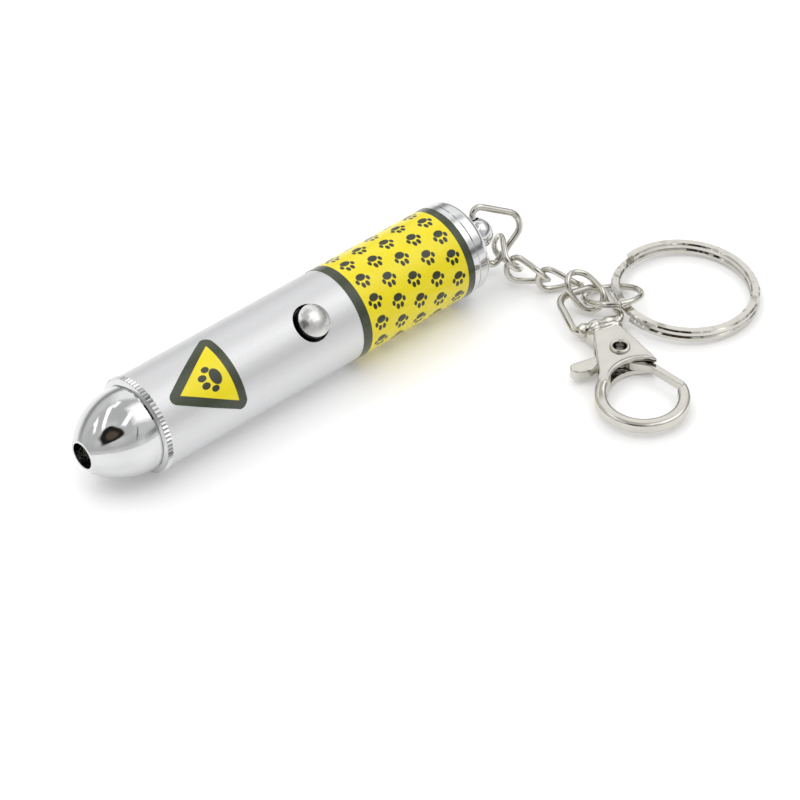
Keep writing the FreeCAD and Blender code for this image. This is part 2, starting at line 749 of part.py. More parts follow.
def make_decal():
    """A rounded triangle, drawn on flat film and then wrapped round the tube."""
    centre_reach = DECAL_SIDE / math.sqrt(3) - 2 * DECAL_CORNER_RADIUS
    flat = []
    for corner in (math.pi / 3, math.pi, 5 * math.pi / 3):
        for heading in (corner - math.pi / 3, corner, corner + math.pi / 3):
            flat.append((centre_reach * math.cos(corner) + DECAL_CORNER_RADIUS * math.cos(heading),
                         centre_reach * math.sin(corner) + DECAL_CORNER_RADIUS * math.sin(heading)))

    def wrapped(along, around):
        return DECAL_X + along, TUBE_RADIUS * math.sin(around / TUBE_RADIUS)

    outline = [wrapped(*flat[0])]
    for start in range(0, len(flat), 3):
        middle, end = flat[start + 1:start + 3]
        outline.append(wrapped(*middle) + wrapped(*end))
        if start + 3 < len(flat):
            corner = flat[start + 3]
            outline.append(wrapped((end[0] + corner[0]) / 2, (end[1] + corner[1]) / 2) + wrapped(*corner))
    prism = profile_face(outline, lambda x, y: V(x, y, 0)).extrude(Z_AXIS * BIG)
    film = pipe_x(DECAL_X - DECAL_SIDE, DECAL_X + DECAL_SIDE, TUBE_RADIUS + FILM_THICKNESS, TUBE_RADIUS)
    return toward_button(single(film.common(prism)))


# Tail cap with its drilled ball
def make_tail_cap():
    lip_end = TUBE_END + CAP_LIP_WIDTH
    groove_end = lip_end + CAP_GROOVE_WIDTH
    groove_radius = CAP_RADIUS - CAP_GROOVE_DEPTH
    back_radius = CAP_RADIUS - CAP_GROOVE_DEPTH / 2
    round_start = CAP_END - CAP_ROUND_LENGTH
    round_mid = CAP_END - CAP_ROUND_MID
    cap = revolve_x([
        (CAP_SEAT_X, CAP_CAVITY_RADIUS),
        (CAP_SEAT_X, SHANK_RADIUS),
        (TUBE_END, SHANK_RADIUS),
        (TUBE_END, CAP_RADIUS),
        (lip_end, CAP_RADIUS),
        (lip_end, groove_radius),
        (groove_end, groove_radius),
        (groove_end, back_radius),
        (round_start, back_radius),
        (round_mid, (back_radius + CAP_END_RADIUS) / 2 + CAP_ROUND_BULGE, CAP_END, CAP_END_RADIUS),
        (CAP_END, NECK_RADIUS),
        (BALL_X, NECK_RADIUS),
        (BALL_X, 0),
        (CAP_FLOOR_X, 0),
        (CAP_FLOOR_X, CAP_CAVITY_RADIUS),
    ])
    ball = Part.makeSphere(BALL_RADIUS, V(BALL_X, 0, 0))
    hole = Part.makeCylinder(EYE_HOLE_RADIUS, 2 * BALL_RADIUS, V(BALL_X, 0, 0) - hole_line() * BALL_RADIUS, hole_line())
    return single(cap.fuse(ball).cut(hole))


def hole_line():
    turn = math.radians(EYE_HOLE_TURN)
    return V(0, math.cos(turn), math.sin(turn))


def make_tail_spring():
    return coil_spring("tail_spring", CELLS_END, CAP_FLOOR_X, TAIL_SPRING_TURNS, TAIL_SPRING_WIRE,
                       TAIL_SPRING_TOP_RADIUS, TAIL_SPRING_BASE_RADIUS)


# Keychain. Each loop is built in a frame and hangs on a point of the loop before it.
def hung(frame, near_point, hook_point, lean, spacing):
    """Frame moved so that its near point lies off the hook point, spacing away."""
    heading, climb, gap = lean
    return frame.moved_to(hook_point + direction(heading, climb) * (spacing + gap) - near_point)


def bail_frame():
    outward = unit(X_AXIS * math.cos(math.radians(BAIL_SWING))
                   + hole_line().cross(X_AXIS) * math.sin(math.radians(BAIL_SWING)))
    return Frame(V(BALL_X, 0, 0) + hole_line() * BAIL_SHIFT, outward, hole_line())


def make_bail(frame):
    corners = [frame.point(0, -BAIL_HALF_BASE), frame.point(BAIL_DEPTH, 0), frame.point(0, BAIL_HALF_BASE)]
    curve, stations = rounded_loop(corners, [BAIL_BASE_CORNER, BAIL_TIP_CORNER, BAIL_BASE_CORNER])
    return wire_loop(curve, stations, BAIL_WIRE / 2)


def bail_side(frame, share):
    """Point of the bail's lower side, a share of the way out, and the side's direction."""
    base = frame.point(0, -BAIL_HALF_BASE)
    side = frame.point(BAIL_DEPTH, 0) - base
    return base + side * share, unit(side)


def link_strand(frame, along, side):
    """Point of a twisted link's wire, along the link from its near end, on one side."""
    radius = LINK_WIDTH / 2
    inset = max(radius - along, along - (LINK_LENGTH - radius), 0.0)
    reach = side * math.sqrt(max(radius ** 2 - inset ** 2, 0.0))
    turn = math.radians(LINK_TWIST) * along / LINK_LENGTH
    return frame.point(along, reach * math.cos(turn), reach * math.sin(turn))


def link_curve(frame):
    """Curve of a twisted link by its length along the untwisted outline, and its stations."""
    radius = LINK_WIDTH / 2
    straight = LINK_LENGTH - LINK_WIDTH
    bend = math.pi * radius
    total = 2 * straight + 2 * bend

    def curve(station):
        station = station % total
        if station < straight:
            return link_strand(frame, radius + station, 1)
        if station < straight + bend:
            turn = (station - straight) / radius
            return link_strand(frame, LINK_LENGTH - radius + radius * math.sin(turn), math.copysign(1, math.cos(turn)))
        if station < 2 * straight + bend:
            return link_strand(frame, LINK_LENGTH - radius - (station - straight - bend), -1)
        turn = (station - 2 * straight - bend) / radius
        return link_strand(frame, radius - radius * math.sin(turn), -math.copysign(1, math.cos(turn)))

    half = [0, straight / 2, straight, straight + bend / 2]
    return curve, half + [s + straight + bend for s in half] + [total]


def make_link(frame):
    curve, stations = link_curve(frame)
    return wire_loop(curve, stations, LINK_WIRE / 2)


def ring_point(frame, radius, angle):
    turn = math.radians(angle)
    return frame.point(radius * math.cos(turn), radius * math.sin(turn))


def ring_tangent(frame, angle):
    turn = math.radians(angle)
    return frame.across * math.cos(turn) - frame.along * math.sin(turn)


def make_jump_ring(frame):
    start = ring_point(frame, JUMP_RADIUS, JUMP_CUT_ANGLE)
    section = Part.Face(Part.Wire([Part.Circle(start, ring_tangent(frame, JUMP_CUT_ANGLE), JUMP_WIRE / 2).toShape()]))
    return section.revolve(frame.place, frame.normal, 360 - JUMP_CUT)


def split_section(angle, height):
    """Upright section of the flat wire, with broken edges, at an angle of the ring."""
    turn = math.radians(angle)
    out = V(math.cos(turn), math.sin(turn), 0)
    inner = SPLIT_INNER_RADIUS
    outer = SPLIT_INNER_RADIUS + SPLIT_WIRE_WIDTH
    low = height - SPLIT_WIRE_HEIGHT / 2
    high = height + SPLIT_WIRE_HEIGHT / 2
    edge = SPLIT_EDGE
    outline = ((inner + edge, low), (outer - edge, low), (outer, low + edge), (outer, high - edge),
               (outer - edge, high), (inner + edge, high), (inner, high - edge), (inner, low + edge))
    corners = [out * r + Z_AXIS * z for r, z in outline]
    return Part.makePolygon(corners + corners[:1])


def make_split_ring(frame):
    lower = Part.Face(split_section(SPLIT_LOWER_END, -SPLIT_LIFT))
    lower = lower.revolve(ORIGIN, Z_AXIS, 360 + SPLIT_UPPER_END - SPLIT_LOWER_END)
    upper = Part.Face(split_section(SPLIT_CROSSING_END, SPLIT_LIFT))
    upper = upper.revolve(ORIGIN, Z_AXIS, 360 + SPLIT_UPPER_END - SPLIT_CROSSING_END)
    sections = []
    for i in range(SPLIT_CROSSING_STEPS + 1):
        share = i / SPLIT_CROSSING_STEPS
        angle = SPLIT_UPPER_END + share * (SPLIT_CROSSING_END - SPLIT_UPPER_END)
        sections.append(split_section(angle, SPLIT_LIFT * (2 * share - 1)))
    crossing = Part.makeLoft(sections, True, True)
    ring = single(lower.fuse(crossing).fuse(upper))
    ring.Placement = frame.placement()
    return ring


# Swivel eye and clasp
def eye_bar_centre(frame):
    return frame.point(EYE_DEPTH, 0)


def clasp_frame(frame):
    along = direction(CLASP_HEADING, 0)
    return Frame(eye_bar_centre(frame), along, Z_AXIS.cross(along))


def make_swivel_eye(frame):
    corners = [frame.point(0, -EYE_TOP_WIDTH / 2), frame.point(0, EYE_TOP_WIDTH / 2),
               frame.point(EYE_DEPTH, EYE_BASE_WIDTH / 2), frame.point(EYE_DEPTH, -EYE_BASE_WIDTH / 2)]
    curve, stations = rounded_loop(corners, [EYE_TOP_CORNER, EYE_TOP_CORNER, EYE_BASE_CORNER, EYE_BASE_CORNER])
    loop = wire_loop(curve, stations, EYE_WIRE / 2)
    clasp = clasp_frame(frame)
    head_start = COLLAR_START + COLLAR_WALL + 3 * TURNING_CLEARANCE
    post = Part.makeCylinder(POST_RADIUS, head_start, clasp.place, clasp.along)
    head = Part.makeCylinder(POST_HEAD_RADIUS, POST_HEAD_THICKNESS, clasp.point(head_start, 0), clasp.along)
    return single(loop.fuse(post).fuse(head))


def flat_face(steps):
    return profile_face(steps, lambda s, t: V(s, t, 0))


def slab(steps, bottom, top):
    solid = flat_face(steps).extrude(Z_AXIS * (top - bottom))
    solid.translate(Z_AXIS * bottom)
    return solid


def hook_point(radius, angle):
    turn = math.radians(angle)
    return HOOK_S + radius * math.cos(turn), HOOK_T + radius * math.sin(turn)


def side_wall_t(s):
    """T of the body's straight edge on the gate side."""
    slope = (GATE_SIDE_T - SHOULDER_HALF_WIDTH) / (GATE_SIDE_S - SHOULDER_S)
    return SHOULDER_HALF_WIDTH + slope * (s - SHOULDER_S)


def body_outline():
    neck = COLLAR_START + COLLAR_LEAD
    return [
        (neck, -COLLAR_RADIUS),
        (SHOULDER_S, -SHOULDER_HALF_WIDTH),
        (BODY_BEND_S, BODY_BEND_T),
        hook_point(HOOK_RADIUS + HOOK_WIDTH / 2, HOOK_ROOT_ANGLE),
        hook_point(HOOK_RADIUS - HOOK_WIDTH / 2, HOOK_ROOT_ANGLE),
        (THROAT_S, THROAT_T, GATE_SIDE_S, GATE_SIDE_T),
        (SHOULDER_S, SHOULDER_HALF_WIDTH),
        (neck, COLLAR_RADIUS),
    ]


def make_hook():
    rounding = HOOK_ROUNDING
    flat = HOOK_ROUNDING * (1 - math.sqrt(0.5))
    inner = HOOK_RADIUS - HOOK_WIDTH / 2
    outer = HOOK_RADIUS + HOOK_WIDTH / 2
    half = HOOK_HEIGHT / 2
    section = profile_face([
        (inner + rounding, -half),
        (outer - rounding, -half),
        (outer - flat, -half + flat, outer, -half + rounding),
        (outer, half - rounding),
        (outer - flat, half - flat, outer - rounding, half),
        (inner + rounding, half),
        (inner + flat, half - flat, inner, half - rounding),
        (inner, -half + rounding),
        (inner + flat, -half + flat, inner + rounding, -half),
    ], lambda r, z: V(r, 0, z))
    section.rotate(ORIGIN, Z_AXIS, HOOK_ROOT_ANGLE)
    hook = section.revolve(ORIGIN, Z_AXIS, HOOK_TIP_ANGLE - HOOK_ROOT_ANGLE)
    hook.translate(V(HOOK_S, HOOK_T, 0))
    swing = Part.makeCylinder(GATE_REACH + GATE_TIP_GAP, HOOK_HEIGHT, V(RIVET_S, 0, -half), Z_AXIS)
    tip_side = block(0, BIG, 0, BIG, -half, half)
    return single(hook.cut(swing.common(tip_side)))


def make_clasp_body():
    half = CAVITY_HEIGHT / 2 + PLATE_THICKNESS
    whole = slab(body_outline(), -half, half)
    whole = whole.makeFillet(PLATE_ROUNDING, [e for e in whole.Edges if e.BoundBox.ZLength < PLATE_ROUNDING])
    chamber_end = COLLAR_START + COLLAR_WALL + HEAD_CHAMBER_LENGTH
    wall_end = GATE_SIDE_S - SIDE_WALL / 2
    cavity = block(chamber_end, WEB_START_S, -BIG, BIG, -CAVITY_HEIGHT / 2, CAVITY_HEIGHT / 2)
    cavity = cavity.fuse(block(WEB_START_S - SIDE_WALL, BIG, 0, BIG, -CAVITY_HEIGHT / 2, CAVITY_HEIGHT / 2))
    side_wall = slab([
        (chamber_end, side_wall_t(chamber_end) - SIDE_WALL),
        (chamber_end, BIG),
        (wall_end, BIG),
        (wall_end, side_wall_t(wall_end) - SIDE_WALL),
    ], -CAVITY_HEIGHT / 2, CAVITY_HEIGHT / 2)
    body = whole.cut(cavity.cut(side_wall))
    collar = rod_x(COLLAR_START, SHOULDER_S, COLLAR_RADIUS)
    crown = block(COLLAR_START, SHOULDER_S, -CROWN_HALF_WIDTH, CROWN_HALF_WIDTH, -CROWN_HALF_HEIGHT, CROWN_HALF_HEIGHT)
    collar = collar.fuse(crown.makeFillet(CROWN_ROUNDING, crown.Edges))
    bore = rod_x(0, chamber_end, POST_RADIUS + TURNING_CLEARANCE)
    chamber = rod_x(COLLAR_START + COLLAR_WALL, chamber_end, POST_HEAD_RADIUS + TURNING_CLEARANCE)
    rivet_hole = Part.makeCylinder(RIVET_RADIUS, 2 * half, V(RIVET_S, 0, -half), Z_AXIS)
    return single(body.fuse(collar).fuse(make_hook()).cut(bore).cut(chamber).cut(rivet_hole))


def make_rivet():
    half = CAVITY_HEIGHT / 2 + PLATE_THICKNESS
    head = half + RIVET_HEAD_HEIGHT
    rivet = revolve_z([
        (RIVET_HOLE_RADIUS, -head),
        (RIVET_HEAD_RADIUS, -head),
        (RIVET_HEAD_RADIUS, -half),
        (RIVET_RADIUS, -half),
        (RIVET_RADIUS, half),
        (RIVET_HEAD_RADIUS, half),
        (RIVET_HEAD_RADIUS, head),
        (RIVET_HOLE_RADIUS, head),
    ])
    rivet.translate(V(RIVET_S, 0, 0))
    return rivet


def gate_tip():
    """Where the hook's outer edge lies at the gate's reach from the rivet."""
    span = math.hypot(HOOK_S - RIVET_S, HOOK_T)
    outer = HOOK_RADIUS + HOOK_WIDTH / 2
    turn = math.acos((span ** 2 + GATE_REACH ** 2 - outer ** 2) / (2 * span * GATE_REACH))
    turn += math.atan2(HOOK_T, HOOK_S - RIVET_S)
    return RIVET_S + GATE_REACH * math.cos(turn), GATE_REACH * math.sin(turn)


def make_trigger():
    half = TRIGGER_THICKNESS / 2
    knee_t = side_wall_t(GATE_KNEE_S) - SIDE_WALL - GATE_SIDE_GAP
    tip_s, tip_t = gate_tip()
    slope = math.atan2(tip_t - knee_t, tip_s - GATE_KNEE_S)
    across_s = GATE_WIDTH * math.sin(slope)
    across_t = GATE_WIDTH * math.cos(slope)
    far = GATE_REACH
    gate = slab([
        (RIVET_S, TRIGGER_HUB_RADIUS),
        (GATE_KNEE_S, knee_t),
        (GATE_KNEE_S + far * math.cos(slope), knee_t + far * math.sin(slope)),
        (GATE_KNEE_S + across_s + far * math.cos(slope), knee_t - across_t + far * math.sin(slope)),
        (GATE_KNEE_S + across_s, knee_t - across_t),
        (RIVET_S + TRIGGER_HUB_RADIUS, -TRIGGER_HUB_RADIUS / 4),
    ], -half, half)
    thumb_s = RIVET_S + LEVER_ROOT_WIDTH / 2 + LEVER_LEAN
    root_t = -TRIGGER_RECESS_RADIUS - LEVER_ROOT_REACH
    lever = slab([
        (RIVET_S - LEVER_HEEL, -TRIGGER_HUB_RADIUS / 2),
        (RIVET_S + LEVER_LEAN, root_t),
        (thumb_s - LEVER_TIP_WIDTH / 2, -LEVER_LENGTH + LEVER_TIP_WIDTH / 2),
        (thumb_s, -LEVER_LENGTH, thumb_s + LEVER_TIP_WIDTH / 2, -LEVER_LENGTH + LEVER_TIP_WIDTH / 2),
        (RIVET_S + LEVER_LEAN + LEVER_ROOT_WIDTH, root_t - LEVER_SHOULDER),
        (RIVET_S + LEVER_ROOT_WIDTH - LEVER_NOTCH, root_t + LEVER_NOTCH_STEP,
         RIVET_S + TRIGGER_HUB_RADIUS / 2, -TRIGGER_HUB_RADIUS),
    ], -half, half)
    pivot = V(RIVET_S, 0, -half)
    recess = Part.makeCylinder(TRIGGER_RECESS_RADIUS, TRIGGER_THICKNESS, pivot + Z_AXIS * TRIGGER_WEB, Z_AXIS)
    web = Part.makeCylinder(TRIGGER_RECESS_RADIUS, TRIGGER_WEB, pivot, Z_AXIS)
    hub = Part.makeCylinder(TRIGGER_HUB_RADIUS, TRIGGER_THICKNESS, pivot, Z_AXIS)
    bore = Part.makeCylinder(RIVET_RADIUS + TRIGGER_BORE_CLEARANCE, TRIGGER_THICKNESS, pivot, Z_AXIS)
    swing = Part.makeCylinder(GATE_REACH, TRIGGER_THICKNESS, pivot, Z_AXIS)
    blank = gate.fuse(lever).cut(recess).fuse(web).fuse(hub)
    return single(blank.cut(bore).common(swing))


def make_trigger_spring():
    """Torsion spring round the hub: a long leg inside the gate, a short one at the collar."""
    radius = TRIGGER_SPRING_RADIUS
    turns = TRIGGER_SPRING_SWEEP / 360
    arc_length = math.hypot(2 * math.pi * radius, TRIGGER_SPRING_PITCH)
    chamber_end = COLLAR_START + COLLAR_WALL + HEAD_CHAMBER_LENGTH
    short_leg = RIVET_S - chamber_end - TRIGGER_SPRING_WIRE / 2 - SPRING_SEAT_GAP

    def coil(turn):
        angle = math.radians(TRIGGER_SPRING_START - 360 * turn)
        return V(RIVET_S + radius * math.cos(angle), radius * math.sin(angle),
                 TRIGGER_SPRING_BASE + TRIGGER_SPRING_PITCH * turn)

    def heading(turn):
        return unit(coil(turn + TANGENT_STEP) - coil(turn - TANGENT_STEP))

    def curve(length):
        """Point at a length from the long leg's end."""
        length = length - TRIGGER_SPRING_LONG_LEG
        if length < 0:
            return coil(0) + heading(0) * length
        if length < arc_length * turns:
            return coil(length / arc_length)
        return coil(turns) + heading(turns) * (length - arc_length * turns)

    end = TRIGGER_SPRING_LONG_LEG + arc_length * turns + short_leg
    quarters = math.ceil(4 * turns)
    edges = [Part.makeLine(curve(0), coil(0))]
    edges += arcs_through(coil, [turns * i / quarters for i in range(quarters + 1)])
    edges.append(Part.makeLine(coil(turns), curve(end)))
    solid = spring_solid(edges, curve(0), heading(0), TRIGGER_SPRING_WIRE / 2)
    gap = least_gap(curve, end, TRIGGER_SPRING_WIRE, LEG_GAP_SAMPLES, LEG_GAP_SKIP)
    print("trigger_spring least gap to itself", round(gap, 2))
    return solid


def placed(shape, frame):
    shape.Placement = frame.placement().multiply(shape.Placement)
    return shape


# The keychain's frames, each from the one before
def keychain_frames():
    frames = {"bail": bail_frame()}
    hook, axis = bail_side(frames["bail"], BAIL_SIDE_SHARE)
    frames["bail_hang"] = (hook, axis)
    links = []
    leans = (BAIL_TO_LINK,) + LINK_TO_LINK
    wire = BAIL_WIRE
    for i in range(len(LINK_LIE)):
        free = turned_frame(*LINK_LIE[i])
        link = hung(free, link_strand(free, *LINK_NEAR[i]), hook, leans[i], (wire + LINK_WIRE) / 2)
        links.append(link)
        reach, side = LINK_FAR[i]
        hook = link_strand(link, LINK_LENGTH - reach, side)
        wire = LINK_WIRE
    frames["links"] = links
    free = turned_frame(*JUMP_LIE)
    near_point = ring_point(free, JUMP_RADIUS, JUMP_NEAR_ANGLE)
    jump = hung(free, near_point, hook, LINK_TO_JUMP, (LINK_WIRE + JUMP_WIRE) / 2)
    frames["jump"] = jump
    free = turned_frame(*SPLIT_LIE)
    hook = ring_point(jump, JUMP_RADIUS, JUMP_SPLIT_ANGLE)
    spacing = (JUMP_WIRE + SPLIT_WIRE_WIDTH) / 2
    near_point = ring_point(free, SPLIT_RADIUS, SPLIT_NEAR_ANGLE)
    frames["split"] = hung(free, near_point, hook, JUMP_TO_SPLIT, spacing)
    free = turned_frame(*EYE_LIE)
    hook = ring_point(jump, JUMP_RADIUS, JUMP_EYE_ANGLE)
    frames["eye"] = hung(free, free.point(0, EYE_NEAR_SIDE), hook, JUMP_TO_EYE, (JUMP_WIRE + EYE_WIRE) / 2)
    return frames


def make_pieces():
    frames = keychain_frames()
    housing, retainer, lens, lens_spring, diode = make_module()
    clasp = clasp_frame(frames["eye"])
    pieces = {
        "barrel_tube": make_barrel(),
        "label_wrap": make_label_wrap(),
        "triangle_decal": make_decal(),
        "laser_housing": housing,
        "lens_retainer": retainer,
        "lens": lens,
        "lens_spring": lens_spring,
        "laser_diode": diode,
        "carrier": make_carrier(),
        "circuit_board": make_board(),
        "push_switch": make_switch(),
        "driver_chip": make_chip(),
        "chip_resistors": make_resistors(),
        "contact_spring": make_contact_spring(),
        "battery_sleeve": make_sleeve(),
        "push_button": make_button(),
        "switch_plunger": make_plunger(),
        "nose_washer": make_nose_washer(),
        "nose_cone": make_nose_cone(),
        "tail_spring": make_tail_spring(),
        "tail_cap": make_tail_cap(),
        "bail": make_bail(frames["bail"]),
        "jump_ring": make_jump_ring(frames["jump"]),
        "split_ring": make_split_ring(frames["split"]),
        "swivel_eye": make_swivel_eye(frames["eye"]),
        "clasp_body": placed(make_clasp_body(), clasp),
        "clasp_rivet": placed(make_rivet(), clasp),
        "clasp_trigger": placed(make_trigger(), clasp),
        "trigger_spring": placed(make_trigger_spring(), clasp),
    }
    for i in range(CELL_COUNT):
        pieces["button_cell_" + str(i + 1)] = make_cell(i)
    for i, frame in enumerate(frames["links"]):
        pieces["chain_link_" + str(i + 1)] = make_link(frame)
    return pieces


# The origin is the middle of the whole object's box, on the floor
def floor_shift(pieces):
    box = FreeCAD.BoundBox()
    for shape in pieces.values():
        box.add(shape.optimalBoundingBox(False, False))
    return V(-box.Center.x, -box.Center.y, -box.ZMin)


pieces = make_pieces()
shift = floor_shift(pieces)
for name, shape in pieces.items():
    shape.translate(shift)
    shape.exportStep("parts/" + name + ".step")
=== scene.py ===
import bpy
import json
import math
from mathutils import Euler, Matrix, Vector, noise


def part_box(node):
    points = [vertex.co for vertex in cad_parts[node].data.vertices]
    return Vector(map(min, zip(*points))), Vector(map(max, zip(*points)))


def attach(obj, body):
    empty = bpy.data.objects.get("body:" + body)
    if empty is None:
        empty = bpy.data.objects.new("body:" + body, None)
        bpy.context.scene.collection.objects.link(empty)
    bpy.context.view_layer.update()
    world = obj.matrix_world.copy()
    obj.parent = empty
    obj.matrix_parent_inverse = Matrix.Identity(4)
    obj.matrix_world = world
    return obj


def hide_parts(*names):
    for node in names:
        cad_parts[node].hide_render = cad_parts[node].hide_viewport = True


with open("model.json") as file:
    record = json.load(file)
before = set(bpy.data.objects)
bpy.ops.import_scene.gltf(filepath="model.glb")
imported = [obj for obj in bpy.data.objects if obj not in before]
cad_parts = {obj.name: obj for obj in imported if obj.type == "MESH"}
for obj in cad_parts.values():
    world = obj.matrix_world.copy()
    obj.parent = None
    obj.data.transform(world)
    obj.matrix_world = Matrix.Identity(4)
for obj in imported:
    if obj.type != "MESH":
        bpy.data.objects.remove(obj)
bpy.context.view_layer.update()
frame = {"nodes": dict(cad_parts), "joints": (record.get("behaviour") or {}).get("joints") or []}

MM = 0.001
nodes = frame["nodes"]

# Where the barrel lies in the frame: its axis is parallel to X
TUBE_LOW, TUBE_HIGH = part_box("barrel_tube")
NOSE_LOW, NOSE_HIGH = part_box("nose_cone")
TAIL_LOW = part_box("tail_cap")[0]
AXIS_Y = (TUBE_LOW.y + TUBE_HIGH.y) / 2
AXIS_Z = (TUBE_LOW.z + TUBE_HIGH.z) / 2
APERTURE_X = NOSE_LOW.x
TUBE_RADIUS = (TUBE_HIGH.z - TUBE_LOW.z) / 2

# Camera: its place from the aperture's centre, its turn about Z and its tilt from looking straight down
CAMERA_PLACE = Vector((-199.697, -290.027, 319.251)) * MM
CAMERA_TURN = math.radians(-41.512)
CAMERA_TILT = math.radians(48.504)
SENSOR_WIDTH = 36.0
FOCAL_PIXELS = 3523.86
PICTURE_PIXELS = 800.0
CLIP_START = 0.01
CLIP_END = 20.0

# Screw threads of the nose and the tail cap. The offset keeps a fraction's argument above zero
THREAD_PITCH = 0.75 * MM
THREAD_DEPTH = 0.7 * MM
THREAD_OFFSET = 100.0
SHANK_LENGTH = 4.4 * MM

# Knurled rim of the nose, with painted shade in its gaps, darkest at their floor
RIM_WIDTH = 0.85 * MM
RIM_RADIUS = 7.2 * MM
TOOTH_DEPTH = 0.22 * MM
TOOTH_MARGIN = 0.02 * MM
UNSHADED_SHARE = 0.3
GAP_SHADE_SHARE = 0.6

# Depths under the tube's outside below which the tube's walls get painted shade, and below which the button
# gets painted shade
WALL_SHADE_DEPTH = 0.12 * MM
SHADOW_DEPTH = 0.35 * MM

# Printed films. PRINT_TURN is the button's place round the barrel
PRINT_TURN = math.radians(37.6)
WRAP_NOSE_BAND = 1.57 * MM
WRAP_TAIL_BAND = 1.2 * MM
BAND_BLUR = 0.04 * MM
WRAP_RINGS = 5
PAWS_IN_RING = 13
RING_OFFSET = 20.0
WRAP_PAW = 0.78
DECAL_X = 19.1 * MM
DECAL_SIDE = 13.8 * MM
DECAL_BORDER = 1.3 * MM
DECAL_BLUR = 0.03 * MM
DECAL_PAW = 4.4 * MM
# Pad and toes of a paw print of about 1 by 1: middle, half width and half length of each
PAW_MARKS = (
    (0.0, -0.17, 0.27, 0.20),
    (-0.33, 0.02, 0.10, 0.14),
    (-0.13, 0.27, 0.11, 0.155),
    (0.13, 0.27, 0.11, 0.155),
    (0.33, 0.02, 0.10, 0.14),
)
PAW_BLUR = 0.06

# Colours. Where there are two, a material clouds from the one to the other
CHROME = (0.73, 0.733, 0.735, 1.0)
NICKEL = (0.66, 0.645, 0.59, 1.0)
BUTTON_STEEL = (0.76, 0.755, 0.74, 1.0)
CELL_STEEL = (0.66, 0.655, 0.65, 1.0)
SPRING_STEEL = (0.56, 0.56, 0.555, 1.0)
BRASS = (0.74, 0.60, 0.36, 1.0)
LACQUER = ((0.68, 0.682, 0.69, 1.0), (0.74, 0.742, 0.75, 1.0))
# Painted shade for the tube's walls under its outside, in the button's hole and inside
TUBE_WALL_SHADE = (0.02, 0.02, 0.021, 1.0)
YELLOW = ((0.83, 0.70, 0.012, 1.0), (0.80, 0.66, 0.01, 1.0))
OLIVE = (0.045, 0.055, 0.032, 1.0)
INK = (0.03, 0.035, 0.02, 1.0)
MOULDED_BLACK = ((0.018, 0.018, 0.019, 1.0), (0.028, 0.028, 0.028, 1.0))
BOARD_GREEN = ((0.02, 0.16, 0.05, 1.0), (0.03, 0.20, 0.07, 1.0))
SLEEVE_GREY = ((0.78, 0.78, 0.74, 1.0), (0.70, 0.70, 0.66, 1.0))
LENS_TINT = (0.93, 0.96, 1.0, 1.0)
HAZE_SHADE = 0.9
# Share of a metal's colour left under painted shade, in the rim's tooth gaps and the button's part under the
# tube
PAINTED_SHADE_FACTOR = 0.04

# Plated metals: colour, least and most roughness, scale and height of the surface's unevenness
METALS = {
    "nose_chrome": (CHROME, 0.03, 0.08, 90.0, 0.004 * MM),
    "tail_chrome": (CHROME, 0.03, 0.08, 90.0, 0.004 * MM),
    "bright_nickel": (NICKEL, 0.05, 0.15, 700.0, 0.006 * MM),
    "hammered_nickel": (NICKEL, 0.07, 0.18, 700.0, 0.006 * MM),
    "cast_nickel": (NICKEL, 0.08, 0.22, 420.0, 0.02 * MM),
    "button_steel": (BUTTON_STEEL, 0.20, 0.36, 500.0, 0.012 * MM),
    "spring_steel": (SPRING_STEEL, 0.18, 0.35, 1500.0, 0.004 * MM),
    "cell_steel": (CELL_STEEL, 0.16, 0.30, 600.0, 0.004 * MM),
    "turned_brass": (BRASS, 0.16, 0.30, 900.0, 0.004 * MM),
}
# Plastics: the two colours, least and most roughness
PLASTICS = {
    "moulded_black": (MOULDED_BLACK, 0.42, 0.58),
    "solder_mask": (BOARD_GREEN, 0.25, 0.4),
    "sleeve_film": (SLEEVE_GREY, 0.35, 0.5),
}
LACQUER_ROUGHNESS = (0.42, 0.50)
LACQUER_METALLIC = 0.75
# The painted shade on the tube's walls is barely metallic
TUBE_WALL_SHADE_METALLIC = 0.1
FILM_ROUGHNESS = (0.20, 0.32)
LENS_ROUGHNESS = (0.01, 0.05)
LENS_INDEX = 1.49
FLOOR_ROUGHNESS = (0.55, 0.65)

# Scales of the noises that the materials are made from, and heights of the bumps
HAZE_SCALE = 260.0
WEAR_SCALE = 2600.0
HAMMER_SCALE = 230.0
HAMMER_HEIGHT = 0.9 * MM
PRESSING_SCALE = 420.0
PRESSING_HEIGHT = 0.06 * MM
SCRATCH_SCALE = 500.0
SCRATCH_HEIGHT = 0.07 * MM
SCRATCH_STRETCHES = ((0.35, 4.0, 1.0), (4.0, 0.5, 1.2))
FLAKE_SCALE = 9000.0
FLAKE_HEIGHT = 0.0025 * MM
RUB_SCALE = 60.0
RUB_STRETCH = (0.2, 12.0, 12.0)
PLASTIC_CLOUDS = 150.0
PLASTIC_GRAIN = 1500.0
PLASTIC_HEIGHT = 0.008 * MM
FILM_CLOUDS = 300.0
SMUDGE_SCALE = 420.0
RIPPLE_SCALE = 700.0
RIPPLE_HEIGHT = 0.006 * MM
LENS_GRAIN = 900.0
FLOOR_CLOUDS = 3.0
FLOOR_GRAIN = 40.0
# Part of a noise's range that counts: usually, and for haze, wear, flakes and the studio's patches
USUAL_RANGE = (0.3, 0.7)
HAZE_RANGE = (0.3, 0.75)
WEAR_RANGE = (0.12, 0.42)
FLAKE_RANGE = (0.35, 0.65)
PATCH_RANGE = (0.42, 0.58)

# Clasp, by its own S (towards the hook), T (towards the gate) and Z (up from the rivet's middle)
RIVET_S = 6.8 * MM
PLATE_HALF = 1.55 * MM

